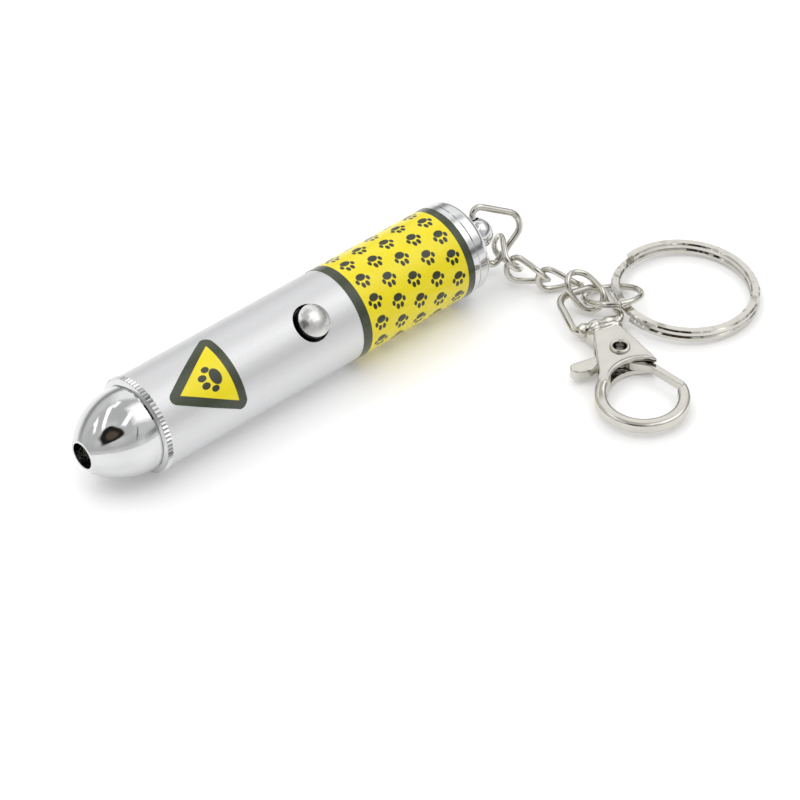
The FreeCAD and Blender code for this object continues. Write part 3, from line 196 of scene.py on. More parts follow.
# Sleeve of solder round the eye's bar, with slim ends, a twist and lumps. BOSS_END is where it ends in S
BOSS_HALF_LENGTH = 3.3 * MM
BOSS_RADIUS = 1.02 * MM
BOSS_END = 0.86 * MM
BOSS_TAPER = 0.24
BOSS_TAPER_POWER = 6
BOSS_TWIST = 0.14
BOSS_TWIST_PITCH = 2.1 * MM
BOSS_LUMPS = 0.22
BOSS_LUMP_SIZE = 0.9 * MM

# Cast bead round the clasp's neck, along a squarish ring
CROWN_S = 1.78 * MM
CROWN_HALF_WIDTH = 2.3 * MM
CROWN_HALF_HEIGHT = 1.28 * MM
CROWN_SQUARENESS = 3.2
CROWN_LIFT = 0.17 * MM
CROWN_RADIUS = 0.50 * MM
CROWN_TWISTS = 9
CROWN_TWIST = 0.15
CROWN_LUMPS = 0.25
CROWN_LUMP_SIZE = 0.8 * MM

# Hook: its middle, the radius and section of its bar, and the turns where it begins and ends.
# Over SLIM_SWEEP from its root its height falls to HOOK_SLIM of the solid's
HOOK_S = 16.3 * MM
HOOK_T = -0.9 * MM
HOOK_RADIUS = 5.85 * MM
HOOK_WIDTH = 1.7 * MM
HOOK_HEIGHT = 2.8 * MM
HOOK_ROOT = math.radians(226.0)
HOOK_SWEEP = math.radians(233.0)
HOOK_SLIM = 0.64
SLIM_SWEEP = math.radians(42.0)

# Swelling between the plates and the hook: degrees past the hook's root, shares of the hook's width,
# and how far it stands over the plates and the hook
SHOULDER_START = -8
SHOULDER_SWEEP = 32
SHOULDER_WIDTH = 1.04
SHOULDER_NARROWING = 0.03
SHOULDER_OVER_PLATE = 0.03 * MM
SHOULDER_OVER_HOOK = 0.01 * MM
SHOULDER_SQUARENESS = 2.8

# Rolled edge of the plates over the hook's opening, on the arc from the hook's root through THROAT to
# GATE_SIDE: its thickness, the share of the arc it covers, its taper at both ends, and where it lies
THROAT = (9.75 * MM, -0.2 * MM)
GATE_SIDE = (11.1 * MM, 3.85 * MM)
EDGE_RADIUS = 0.27 * MM
EDGE_SHARE = 0.96
EDGE_TIP = 0.45
EDGE_TAPER = 6
EDGE_OUTWARD = 0.16 * MM
EDGE_SUNK = 0.13 * MM

# Gate: two places on its outer side and its width in the solid, then the S where its sides begin to
# move and over what length, how far out, and its width and height as shares of the solid's
GATE_KNEE = (11.2 * MM, 2.92 * MM)
GATE_TIP = (16.03 * MM, 5.80 * MM)
GATE_DEPTH = 1.63 * MM
GATE_START = 10.55 * MM
GATE_STEP = 0.55 * MM
BLADE_START = 9.3 * MM
BLADE_STEP = 2.3 * MM
GATE_OUTWARD = 0.78 * MM
GATE_NARROW = 0.62
GATE_THIN = 0.82

# Long leg of the trigger's spring: from LEG_START on it is this share as long as the solid's
LEG_START = 8.4 * MM
LEG_SHARE = 0.5

# Castings are remeshed in millimetres, with this cell, and smoothed this many times
CASTING_CELL = 0.11
CASTING_ROUNDING = 3

# Tubular rivet: bore, shaft, head and foot, then the curled lip, its lumps and the split in it
RIVET_BORE = 0.92 * MM
RIVET_SHAFT = 1.06 * MM
RIVET_HEAD = 1.45 * MM
RIVET_FOOT = 1.66 * MM
FOOT_BEVEL = 0.08 * MM
LIP_MIDDLE = (1.22 * MM, 1.67 * MM)
LIP_RADIUS = 0.26 * MM
LIP_DEGREES = range(-50, 200, 20)
LIP_ROOT = 0.1 * MM
LIP_LUMPS = 0.16
LIP_LUMP_SIZE = 0.5
LIP_LUMP_HEIGHT = 0.3
SPLIT_TURN = math.radians(150)
SPLIT_HALF_WIDTH = math.radians(14)
SPLIT_DEPTH = 0.75

# Studio walls: height, from the horizon up to straight overhead, and brightness there
WALL_LEVELS = (
    (0.0, 0.95), (0.10, 0.86), (0.22, 0.68), (0.36, 0.68), (0.52, 0.74), (0.85, 0.74), (1.0, 0.70),
)
PATCH_SCALE = 1.6
PATCH_SHADE = 0.82
WORLD_STRENGTH = 1.0
# Softboxes and dark gaps in the walls: middle, direction of the long side, half length, half width,
# softness of the edge, level
PANELS = (
    ((0.55, 0.53, 0.65), (0.69, -0.72, 0.0), 0.42, 0.26, 0.35, 1.12),
    ((0.48, -0.27, 0.83), (0.88, 0.0, -0.48), 0.34, 0.36, 0.45, 1.80),
    ((-0.30, 0.36, 0.88), (0.62, 0.55, 0.0), 0.42, 0.055, 0.30, 1.8),
    ((-0.52, 0.48, 0.70), (0.60, 0.62, 0.1), 0.26, 0.05, 0.30, 1.6),
    ((0.00, -0.30, 0.95), (0.80, 0.55, 0.2), 0.24, 0.075, 0.30, 1.7),
    ((0.10, 0.50, 0.86), (0.80, 0.30, 0.0), 0.10, 0.06, 0.30, 1.6),
    ((0.03, -0.87, 0.50), (0.3, 0.3, 0.9), 0.22, 0.02, 0.5, 0.22),
    ((0.92, 0.10, 0.18), (-0.1, 0.9, 0.0), 0.60, 0.12, 0.6, 0.12),
    ((0.10, 0.95, 0.24), (0.95, -0.1, 0.0), 0.90, 0.11, 0.6, 0.36),
    ((0.66, -0.66, 0.24), (0.66, 0.66, 0.0), 0.45, 0.10, 0.6, 0.22),
)
# Keeps what a panel divides by above zero
LEAST_AHEAD = 0.001
# Dark camera stand that the plating mirrors, with a warm middle. Its reach is uneven
STAND_MIDDLE = Vector((-0.57, -0.42, 0.69)).normalized()
STAND_INNER = 0.37
STAND_OUTER = 0.44
STAND_UNEVEN = 0.5
STAND_SCALE = 2.2
STAND_DARK = (0.022, 0.02, 0.018, 1.0)
STAND_WARM = (0.11, 0.08, 0.06, 1.0)
WARM_INNER = 0.12
WARM_OUTER = 0.24
# Lamps that light the floor and the films: name, place, width and height, power. They face the origin
LAMPS = (
    ("key", (-0.24, 0.04, 0.56), (0.62, 0.50), 1.6),
    ("back", (0.32, 0.36, 0.42), (0.50, 0.36), 0.6),
)
FLOOR_HALF = 3.0
FLOOR_GREYS = (0.86, 0.85)
FLOOR_GLOW = 0.15


class Nodes:
    """Short forms for the nodes of one tree."""

    MIX_A, MIX_B, MIX_RESULT = 6, 7, 2

    def __init__(self, tree):
        self.tree = tree
        tree.nodes.clear()

    def new(self, kind):
        return self.tree.nodes.new(kind)

    def link(self, source, target):
        """Join an output to a socket, or set the socket to a number or a colour."""
        if isinstance(source, (int, float, tuple, list)):
            target.default_value = source
        else:
            self.tree.links.new(source, target)

    def math(self, operation, a, b=0.0, clamp=False):
        node = self.new("ShaderNodeMath")
        node.operation = operation
        node.use_clamp = clamp
        self.link(a, node.inputs[0])
        self.link(b, node.inputs[1])
        return node.outputs[0]

    def wrap(self, value, highest, lowest):
        node = self.new("ShaderNodeMath")
        node.operation = "WRAP"
        for item, socket in zip((value, highest, lowest), node.inputs):
            self.link(item, socket)
        return node.outputs[0]

    def length(self, a, b):
        squares = self.math("ADD", self.math("MULTIPLY", a, a), self.math("MULTIPLY", b, b))
        return self.math("SQRT", squares)

    def between(self, value, low, high):
        """1 where a value lies between two others."""
        above = self.math("GREATER_THAN", value, low)
        return self.math("MULTIPLY", above, self.math("LESS_THAN", value, high))

    def mix(self, factor, a, b):
        node = self.new("ShaderNodeMix")
        node.data_type = "RGBA"
        node.clamp_factor = True
        self.link(factor, node.inputs[0])
        self.link(a, node.inputs[self.MIX_A])
        self.link(b, node.inputs[self.MIX_B])
        return node.outputs[self.MIX_RESULT]

    def spread(self, value, low, high, to_low=0.0, to_high=1.0):
        node = self.new("ShaderNodeMapRange")
        node.clamp = True
        for item, socket in zip((value, low, high, to_low, to_high), node.inputs):
            self.link(item, socket)
        return node.outputs[0]

    def vary(self, cloud, to_low=0.0, to_high=1.0):
        """A noise's usual range as another range."""
        return self.spread(cloud, *USUAL_RANGE, to_low, to_high)

    def noise(self, scale, detail=3.0, roughness=0.5, place=None):
        node = self.new("ShaderNodeTexNoise")
        self.link(place or self.place, node.inputs["Vector"])
        node.inputs["Scale"].default_value = scale
        node.inputs["Detail"].default_value = detail
        node.inputs["Roughness"].default_value = roughness
        return node.outputs["Fac"]

    def scaled(self, factors, place=None):
        node = self.new("ShaderNodeVectorMath")
        node.operation = "MULTIPLY"
        self.link(place or self.place, node.inputs[0])
        node.inputs[1].default_value = factors
        return node.outputs[0]

    def axes(self, place=None):
        node = self.new("ShaderNodeSeparateXYZ")
        self.link(place or self.place, node.inputs[0])
        return node.outputs[:3]

    def bump(self, height, distance, strength=1.0, normal=None):
        node = self.new("ShaderNodeBump")
        node.inputs["Strength"].default_value = strength
        node.inputs["Distance"].default_value = distance
        self.link(height, node.inputs["Height"])
        if normal is not None:
            self.link(normal, node.inputs["Normal"])
        return node.outputs[0]

    def vector_number(self, operation, place, other):
        node = self.new("ShaderNodeVectorMath")
        node.operation = operation
        self.link(place, node.inputs[0])
        node.inputs[1].default_value = other
        return node.outputs["Value"]

    def distance(self, place, spot):
        return self.vector_number("DISTANCE", place, spot)

    def dot(self, place, direction):
        return self.vector_number("DOT_PRODUCT", place, direction)


class Tree(Nodes):
    """A material with one principled shader."""

    def __init__(self, name):
        self.material = bpy.data.materials.new(name)
        self.material.use_nodes = True
        super().__init__(self.material.node_tree)
        self.shader = self.new("ShaderNodeBsdfPrincipled")
        output = self.new("ShaderNodeOutputMaterial")
        self.tree.links.new(self.shader.outputs["BSDF"], output.inputs["Surface"])
        self.place = self.new("ShaderNodeTexCoord").outputs["Object"]

    def set(self, **sockets):
        for name, value in sockets.items():
            self.link(value, self.shader.inputs[name.replace("_", " ")])
        return self.material


def grey(level):
    return (level, level, level, 1.0)


def shaded(tint, factor):
    return tuple(channel * factor for channel in tint[:3]) + (1.0,)


def from_axis(t):
    """Place along the barrel, and how far it lies across and above the barrel's axis."""
    x, y, z = t.axes()
    return x, t.math("SUBTRACT", y, AXIS_Y), t.math("SUBTRACT", z, AXIS_Z)


def barrel_radius(t):
    """Distance of a place from the barrel's axis."""
    along, across, upward = from_axis(t)
    return t.length(across, upward)


# Mesh helpers
def turns(count):
    """A full turn in equal steps."""
    return [2 * math.pi * i / count for i in range(count)]


def shares(steps):
    """0 to 1 in equal steps."""
    return [i / steps for i in range(steps + 1)]


def add_piece(name, mesh):
    piece = bpy.data.objects.new(name, mesh)
    bpy.context.scene.collection.objects.link(piece)
    return piece


def skin(name, rings, closed=False):
    """Smooth mesh through rings of points, capped at its ends unless it closes on itself."""
    count = len(rings[0])
    faces = []
    for i in range(len(rings) if closed else len(rings) - 1):
        j = (i + 1) % len(rings)
        for k in range(count):
            m = (k + 1) % count
            faces.append((i * count + k, i * count + m, j * count + m, j * count + k))
    if not closed:
        faces.append(tuple(reversed(range(count))))
        faces.append(tuple((len(rings) - 1) * count + k for k in range(count)))
    mesh = bpy.data.meshes.new(name)
    mesh.from_pydata([point for ring in rings for point in ring], [], faces)
    mesh.shade_smooth()
    return add_piece(name, mesh)


def rounded(angle, power):
    """Point of a superellipse of half axes 1: power 2 is round, more is squarer."""
    c = math.cos(angle)
    s = math.sin(angle)
    return math.copysign(abs(c) ** (2 / power), c), math.copysign(abs(s) ** (2 / power), s)


def lump(place, size):
    return noise.noise(place / size)


def ease(share):
    """0 to 1 with a soft start and end, and flat outside."""
    share = min(max(share, 0.0), 1.0)
    return share * share * (3 - 2 * share)


# Materials
def plated_metal(name, more=None, dark=None):
    """Bright plating with faint haze, fine wear and a slight unevenness of the cast or drawn surface.

    more adds to its bump, and dark says where painted shade darkens it.
    """
    tint, smooth, rough, grain, height = METALS[name]
    t = Tree(name)
    haze = t.noise(HAZE_SCALE, detail=4.0, roughness=0.6)
    fine = t.noise(WEAR_SCALE, roughness=0.6)
    wear = t.math("MULTIPLY", haze, fine)
    colour = t.mix(t.spread(haze, *HAZE_RANGE), tint, shaded(tint, HAZE_SHADE))
    roughness = t.spread(wear, *WEAR_RANGE, smooth, rough)
    normal = t.bump(t.noise(grain, detail=2.0), height)
    if more is not None:
        normal = more(t, normal)
    if dark is not None:
        # Painted shade: where dark says, the metal darkens nearly to black
        colour = t.mix(dark(t), colour, shaded(tint, PAINTED_SHADE_FACTOR))
    return t.set(Base_Color=colour, Metallic=1.0, Roughness=roughness, Normal=normal)


def hammered(t, normal):
    """Shallow dents all over, as on a rolled key ring."""
    return t.bump(t.noise(HAMMER_SCALE, detail=2.0, roughness=0.45), HAMMER_HEIGHT, normal=normal)


def scratched(t, normal):
    """Fine scratches in two directions over a slightly lumpy pressing."""
    first, second = (t.noise(SCRATCH_SCALE, detail=2.0, roughness=0.6, place=t.scaled(stretch))
                     for stretch in SCRATCH_STRETCHES)
    normal = t.bump(t.noise(PRESSING_SCALE, detail=1.0), PRESSING_HEIGHT, normal=normal)
    return t.bump(t.math("MULTIPLY", first, second), SCRATCH_HEIGHT, normal=normal)


def below_skin(t):
    """Shadowed part of the button, under the tube's outside."""
    return t.math("LESS_THAN", barrel_radius(t), TUBE_RADIUS - SHADOW_DEPTH)


def tooth_gaps(t):
    """Painted shade between the teeth of the nose's rim, darker towards the floor of each gap."""
    x = t.axes()[0]
    radius = barrel_radius(t)
    gap_floor = RIM_RADIUS - TOOTH_DEPTH
    rim_end = NOSE_HIGH.x - SHANK_LENGTH
    # Painted shade: strongest at the gaps' floor, gone towards the teeth's tops
    gap_shade = t.spread(radius, gap_floor, RIM_RADIUS - UNSHADED_SHARE * TOOTH_DEPTH, GAP_SHADE_SHARE, 0.0)
    on_rim = t.math("GREATER_THAN", radius, gap_floor - TOOTH_MARGIN)
    return t.math("MULTIPLY", t.math("MULTIPLY", on_rim, gap_shade), t.between(x, rim_end - RIM_WIDTH, rim_end))


def threaded(start, end):
    """Helical thread on the shank between two places along the barrel."""
    def thread(t, normal):
        x, across, upward = from_axis(t)
        turn = t.math("DIVIDE", t.math("ARCTAN2", across, upward), 2 * math.pi)
        turn = t.math("ADD", turn, THREAD_OFFSET)
        place = t.math("FRACT", t.math("ADD", t.math("DIVIDE", x, THREAD_PITCH), turn))
        flank = t.math("ABSOLUTE", t.math("SUBTRACT", place, 0.5))
        return t.bump(t.math("MULTIPLY", flank, t.between(x, start, end)), THREAD_DEPTH, normal=normal)
    return thread


def satin_tube():
    """Satin silver lacquer with metal flake and faint lengthwise rub marks, and painted shade on its walls
    under the outside, as in the button's hole and inside.
    """
    t = Tree("satin_silver")
    flake = t.noise(FLAKE_SCALE, detail=2.0)
    rubbed = t.noise(RUB_SCALE, place=t.scaled(RUB_STRETCH))
    # Painted shade: near-black, barely metallic colour on the walls under the tube's outside
    shaded_wall = t.math("LESS_THAN", barrel_radius(t), TUBE_RADIUS - WALL_SHADE_DEPTH)
    colour = t.mix(shaded_wall, t.mix(t.spread(flake, *FLAKE_RANGE), *LACQUER), TUBE_WALL_SHADE)
    metallic = t.spread(shaded_wall, 0.0, 1.0, LACQUER_METALLIC, TUBE_WALL_SHADE_METALLIC)
    return t.set(Base_Color=colour, Metallic=metallic, Roughness=t.vary(rubbed, *LACQUER_ROUGHNESS),
                 Normal=t.bump(flake, FLAKE_HEIGHT, strength=0.5), Coat_Weight=0.12, Coat_Roughness=0.2)


def plastic(name):
    """Plastic that clouds between two colours, with a fine grain."""
    colours, smooth, rough = PLASTICS[name]
    t = Tree(name)
    colour = t.mix(t.vary(t.noise(PLASTIC_CLOUDS)), *colours)
    grain = t.noise(PLASTIC_GRAIN, roughness=0.6)
    return t.set(Base_Color=colour, Roughness=t.vary(grain, smooth, rough),
                 Normal=t.bump(grain, PLASTIC_HEIGHT))


def glass(name):
    t = Tree(name)
    return t.set(Base_Color=LENS_TINT, Transmission_Weight=1.0, IOR=LENS_INDEX,
                 Roughness=t.vary(t.noise(LENS_GRAIN), *LENS_ROUGHNESS))


def paw(t, u, v):
    """1 inside a paw print of about 1 by 1, centred on u, v = 0, with its toes towards +v."""
    nearest = None
    for x, y, wide, high in PAW_MARKS:
        a = t.math("DIVIDE", t.math("SUBTRACT", u, x), wide)
        b = t.math("DIVIDE", t.math("SUBTRACT", v, y), high)
        reach = t.length(a, b)
        nearest = reach if nearest is None else t.math("MINIMUM", nearest, reach)
    return t.spread(nearest, 1 - PAW_BLUR, 1 + PAW_BLUR, 1.0, 0.0)


def wrapped_place(t):
    """Distance from the aperture and, round the barrel, from the line that the button is on."""
    x, y, z = t.axes()
    along = t.math("SUBTRACT", x, APERTURE_X)
    angle = t.math("ARCTAN2", t.math("SUBTRACT", AXIS_Y, y), t.math("SUBTRACT", z, AXIS_Z))
    angle = t.wrap(t.math("SUBTRACT", angle, PRINT_TURN), math.pi, -math.pi)
    return along, t.math("MULTIPLY", angle, TUBE_RADIUS)


def film(t, printed, border):
    """Glossy film with a faint ripple: clouded yellow, ink where it is printed, and a dark border."""
    field = t.mix(t.vary(t.noise(FILM_CLOUDS)), *YELLOW)
    colour = t.mix(border, t.mix(printed, field, INK), OLIVE)
    smudge = t.noise(SMUDGE_SCALE, detail=4.0, roughness=0.6)
    ripple = t.bump(t.noise(RIPPLE_SCALE, detail=2.0), RIPPLE_HEIGHT)
    return t.set(Base_Color=colour, Roughness=t.vary(smudge, *FILM_ROUGHNESS), Normal=ripple,
                 Specular_IOR_Level=0.35, Coat_Weight=0.15, Coat_Roughness=0.15)


def wrap_film():
    """Yellow film between two dark bands, with staggered rows of small paw prints."""
    t = Tree("printed_wrap")
    along, around = wrapped_place(t)
    low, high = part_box("label_wrap")
    start = low.x - APERTURE_X + WRAP_NOSE_BAND
    end = high.x - APERTURE_X - WRAP_TAIL_BAND
    pitch = (end - start) / WRAP_RINGS
    step = 2 * math.pi * TUBE_RADIUS / PAWS_IN_RING
    ring_place = t.math("DIVIDE", t.math("SUBTRACT", along, start), pitch)
    ring = t.math("FLOOR", ring_place)
    v = t.math("SUBTRACT", t.math("SUBTRACT", ring_place, ring), 0.5)
    shift = t.math("MULTIPLY", t.math("MODULO", ring, 2.0), 0.5)
    turn = t.math("ADD", t.math("DIVIDE", around, step), t.math("ADD", shift, RING_OFFSET))
    u = t.math("SUBTRACT", t.math("FRACT", turn), 0.5)
    printed = paw(t, t.math("DIVIDE", v, WRAP_PAW), t.math("DIVIDE", u, WRAP_PAW * pitch / step))
    near_nose = t.spread(along, start - BAND_BLUR, start, 1.0, 0.0)
    near_tail = t.spread(along, end, end + BAND_BLUR)
    return film(t, printed, t.math("ADD", near_nose, near_tail, clamp=True))


def decal_film():
    """Yellow rounded triangle with a dark border and one paw print."""
    t = Tree("printed_triangle")
    along, around = wrapped_place(t)
    u = t.math("SUBTRACT", along, DECAL_X)
    inner = DECAL_SIDE / (2 * math.sqrt(3)) - DECAL_BORDER
    edge = None
    for angle in turns(3):
        reach = t.math("ADD", t.math("MULTIPLY", u, math.cos(angle)),
                       t.math("MULTIPLY", around, math.sin(angle)))
        edge = reach if edge is None else t.math("MAXIMUM", edge, reach)
    border = t.spread(edge, inner - DECAL_BLUR, inner + DECAL_BLUR)
    toes = t.math("MULTIPLY", u, -1.0)
    printed = paw(t, t.math("DIVIDE", around, DECAL_PAW), t.math("DIVIDE", toes, DECAL_PAW))
    return film(t, printed, border)


def dress(node, material):
    data = nodes[node].data
    data.materials.clear()
    data.materials.append(material)


nose_thread = threaded(NOSE_HIGH.x - SHANK_LENGTH, NOSE_HIGH.x)
tail_thread = threaded(TAIL_LOW.x, TAIL_LOW.x + SHANK_LENGTH)
nickel = plated_metal("bright_nickel")
cast_nickel = plated_metal("cast_nickel")
spring_steel = plated_metal("spring_steel")
cell_steel = plated_metal("cell_steel")
brass = plated_metal("turned_brass")
black = plastic("moulded_black")

finishes = {
    "barrel_tube": satin_tube(),
    "label_wrap": wrap_film(),
    "triangle_decal": decal_film(),
    "laser_housing": brass,
    "lens_retainer": brass,
    "lens": glass("clear_lens"),
    "lens_spring": spring_steel,
    "laser_diode": brass,
    "carrier": black,
    "circuit_board": plastic("solder_mask"),
    "push_switch": black,
    "driver_chip": black,
    "chip_resistors": black,
    "contact_spring": spring_steel,
    "battery_sleeve": plastic("sleeve_film"),
    "push_button": plated_metal("button_steel", scratched, below_skin),
    "switch_plunger": black,
    "nose_washer": black,
    "nose_cone": plated_metal("nose_chrome", nose_thread, tooth_gaps),
    "tail_spring": spring_steel,
    "tail_cap": plated_metal("tail_chrome", tail_thread),
    "bail": nickel,
    "jump_ring": nickel,
    "split_ring": plated_metal("hammered_nickel", hammered),
    "swivel_eye": cast_nickel,
    "clasp_body": cast_nickel,
    "clasp_rivet": nickel,
    "clasp_trigger": cast_nickel,
    "trigger_spring": spring_steel,
}
for name in nodes:
    if name.startswith("button_cell_"):
        finishes[name] = cell_steel
    if name.startswith("chain_link_"):
        finishes[name] = nickel
for name, material in finishes.items():
    dress(name, material)


# Clasp
class Clasp:
    """Places on the clasp by its own S, T and Z."""

    def __init__(self):
        low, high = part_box("clasp_rivet")
        joint = next(j for j in frame["joints"] if j["name"] == "clasp_swivel")
        self.along = Vector(joint["axis"]).normalized()
        self.up = Vector((0, 0, 1))
        self.across = self.up.cross(self.along)
        self.rivet = (low + high) / 2

    def point(self, s, t, z):
        return self.rivet + self.along * (s - RIVET_S) + self.across * t + self.up * z

    def measure(self, place):
        away = place - self.rivet
        return away.dot(self.along) + RIVET_S, away.dot(self.across), away.dot(self.up)


def make_boss(clasp):
    """Lumpy sleeve of solder round the eye's bar."""
    rings = []
    for share in shares(60):
        side = 2 * share - 1
        t = BOSS_HALF_LENGTH * side
        swell = 1 - BOSS_TAPER * abs(side) ** BOSS_TAPER_POWER
        ring = []
        for angle in turns(28):
            twist = math.cos(2 * angle + 2 * math.pi * t / BOSS_TWIST_PITCH)
            radius = BOSS_RADIUS * swell * (1 + BOSS_TWIST * twist)
            s = -radius * math.cos(angle)
            z = radius * math.sin(angle)
            more = 1 + BOSS_LUMPS * lump(clasp.point(s, t, z), BOSS_LUMP_SIZE)
            ring.append(clasp.point(min(s * more, BOSS_END), t, z * more))
        rings.append(ring)
    return skin("eye_boss", rings)


def make_crown(clasp):
    """Lumpy cast bead round the clasp's neck."""
    rings = []
    for turn in turns(96):
        x, y = rounded(turn, CROWN_SQUARENESS)
        t = CROWN_HALF_WIDTH * x
        z = CROWN_HALF_HEIGHT * y
        out = Vector((math.cos(turn) / CROWN_HALF_WIDTH, math.sin(turn) / CROWN_HALF_HEIGHT)).normalized()
        ring = []
        for angle in turns(20):
            twist = math.cos(2 * angle + CROWN_TWISTS * turn)
            radius = CROWN_RADIUS * (1 + CROWN_TWIST * twist)
            reach = radius * math.cos(angle)
            s = CROWN_S - radius * math.sin(angle)
            place = clasp.point(s, t + out.x * reach, z + out.y * reach)
            reach *= 1 + CROWN_LUMPS * lump(place, CROWN_LUMP_SIZE)
            ring.append(clasp.point(s, t + out.x * reach, CROWN_LIFT + z + out.y * reach))
        rings.append(ring)
    return skin("neck_bead", rings, closed=True)


def make_shoulder(clasp):
    """Swelling that carries the plates into the hook's root."""
    rings = []
    for share in shares(16):
        turn = HOOK_ROOT + math.radians(SHOULDER_START + SHOULDER_SWEEP * share)
        blend = ease(share)
        wide = HOOK_WIDTH / 2 * (SHOULDER_WIDTH - SHOULDER_NARROWING * blend)
        at_plates = PLATE_HALF + SHOULDER_OVER_PLATE
        at_hook = HOOK_HEIGHT / 2 + SHOULDER_OVER_HOOK
        high = at_plates * (1 - blend) + at_hook * blend
        ring = []
        for angle in turns(32):
            x, y = rounded(angle, SHOULDER_SQUARENESS)
            radius = HOOK_RADIUS + wide * x
            s = HOOK_S + radius * math.cos(turn)
            t = HOOK_T + radius * math.sin(turn)
            ring.append(clasp.point(s, t, high * y))
        rings.append(ring)
    return skin("hook_shoulder", rings)


def circle_through(a, b, c):
    """Middle and radius of the circle through three points of a plane."""
    d = 2 * (a.x * (b.y - c.y) + b.x * (c.y - a.y) + c.x * (a.y - b.y))
    x = (a.dot(a) * (b.y - c.y) + b.dot(b) * (c.y - a.y) + c.dot(c) * (a.y - b.y)) / d
    y = (a.dot(a) * (c.x - b.x) + b.dot(b) * (a.x - c.x) + c.dot(c) * (b.x - a.x)) / d
    middle = Vector((x, y))
    return middle, (a - middle).length


def make_throat_bead(clasp, name, side):
    """Rolled edge of one plate over the hook's opening."""
    inner = HOOK_RADIUS - HOOK_WIDTH / 2
    root = Vector((HOOK_S + inner * math.cos(HOOK_ROOT), HOOK_T + inner * math.sin(HOOK_ROOT)))
    gate = Vector(GATE_SIDE)
    middle, radius = circle_through(root, Vector(THROAT), gate)
    start = math.atan2(root.y - middle.y, root.x - middle.x) % (2 * math.pi)
    end = math.atan2(gate.y - middle.y, gate.x - middle.x) % (2 * math.pi)
    rings = []
    for share in shares(40):
        turn = start + (end - start) * EDGE_SHARE * share
        full = min(1, EDGE_TAPER * share, EDGE_TAPER * (1 - share))
        thick = EDGE_RADIUS * (EDGE_TIP + (1 - EDGE_TIP) * full)
        ring = []
        for angle in turns(16):
            reach = radius + EDGE_OUTWARD + thick * math.cos(angle)
            z = side * (PLATE_HALF - EDGE_SUNK) + thick * math.sin(angle)
            ring.append(clasp.point(middle.x + reach * math.cos(turn), middle.y + reach * math.sin(turn), z))
        rings.append(ring)
    if end > start:
        rings.reverse()
    return skin(name, rings)


def make_rivet(clasp):
    """Tubular rivet: flat foot below, curled and split lip on top."""
    outline = [(RIVET_BORE, -RIVET_FOOT), (RIVET_HEAD - FOOT_BEVEL, -RIVET_FOOT), (RIVET_HEAD, -PLATE_HALF),
               (RIVET_SHAFT, -PLATE_HALF), (RIVET_SHAFT, PLATE_HALF)]
    for angle in (math.radians(degrees) for degrees in LIP_DEGREES):
        outline.append((LIP_MIDDLE[0] + LIP_RADIUS * math.cos(angle),
                        LIP_MIDDLE[1] + LIP_RADIUS * math.sin(angle)))
    outline.append((RIVET_BORE, PLATE_HALF - LIP_ROOT))
    rings = []
    for radius, z in outline:
        ring = []
        for turn in turns(72):
            proud = max(z - PLATE_HALF, 0)
            away = abs((turn - SPLIT_TURN + math.pi) % (2 * math.pi) - math.pi)
            split = max(0, 1 - away / SPLIT_HALF_WIDTH)
            place = Vector((math.cos(turn), math.sin(turn), LIP_LUMP_HEIGHT))
            uneven = LIP_LUMPS * lump(place, LIP_LUMP_SIZE)
            height = z - proud * (SPLIT_DEPTH * split + max(uneven, 0))
            ring.append(clasp.point(RIVET_S + radius * math.cos(turn), radius * math.sin(turn), height))
        rings.append(ring)
    return skin("curled_rivet", rings, closed=True)


def slim_hook(s, t, z):
    """The hook thins from the plates' height to a wire's."""
    past = (math.atan2(t - HOOK_T, s - HOOK_S) - HOOK_ROOT) % (2 * math.pi)
    if past > HOOK_SWEEP:
        return s, t, z
    return s, t, z * (1 - (1 - HOOK_SLIM) * ease(past / SLIM_SWEEP))


def trim_gate(s, t, z):
    """The gate narrows, and past the plates' end its outer side lines up with theirs."""
    slope = (GATE_TIP[1] - GATE_KNEE[1]) / (GATE_TIP[0] - GATE_KNEE[0])
    outer = GATE_KNEE[1] + slope * (s - GATE_KNEE[0])
    left = min(max((GATE_TIP[0] - s) / (GATE_TIP[0] - GATE_KNEE[0]), 0.0), 1.0)
    outward = GATE_OUTWARD * left
    blade = ease((s - BLADE_START) / BLADE_STEP)
    outer_shift = outward * ease((s - GATE_START) / GATE_STEP)
    inner_shift = (outward + GATE_DEPTH * (1 - GATE_NARROW)) * blade
    inward = min(max((outer - t) / GATE_DEPTH, 0.0), 1.0)
    return s, t + outer_shift + (inner_shift - outer_shift) * inward, z * (1 - (1 - GATE_THIN) * blade)


def shorten_leg(s, t, z):
    """The trigger spring's long leg is shorter and follows the gate's inner side."""
    return trim_gate(min(s, LEG_START + LEG_SHARE * (s - LEG_START)), t, z)


def gather(clasp, name, sources):
    """One piece that copies the sources' meshes, in the clasp's S, T and Z and in millimetres."""
    points = []
    faces = []
    for source in sources:
        first = len(points)
        points.extend(Vector(clasp.measure(v.co)) / MM for v in source.data.vertices)
        faces.extend([first + i for i in p.vertices] for p in source.data.polygons)
    mesh = bpy.data.meshes.new(name)
    mesh.from_pydata(points, [], faces)
    return add_piece(name, mesh)


def put_back(clasp, piece, reshape):
    """Reshape a gathered piece by a rule on S, T and Z, and return it to the frame in metres."""
    for vertex in piece.data.vertices:
        vertex.co = clasp.point(*reshape(*(vertex.co * MM)))
    piece.data.shade_smooth()
    return piece


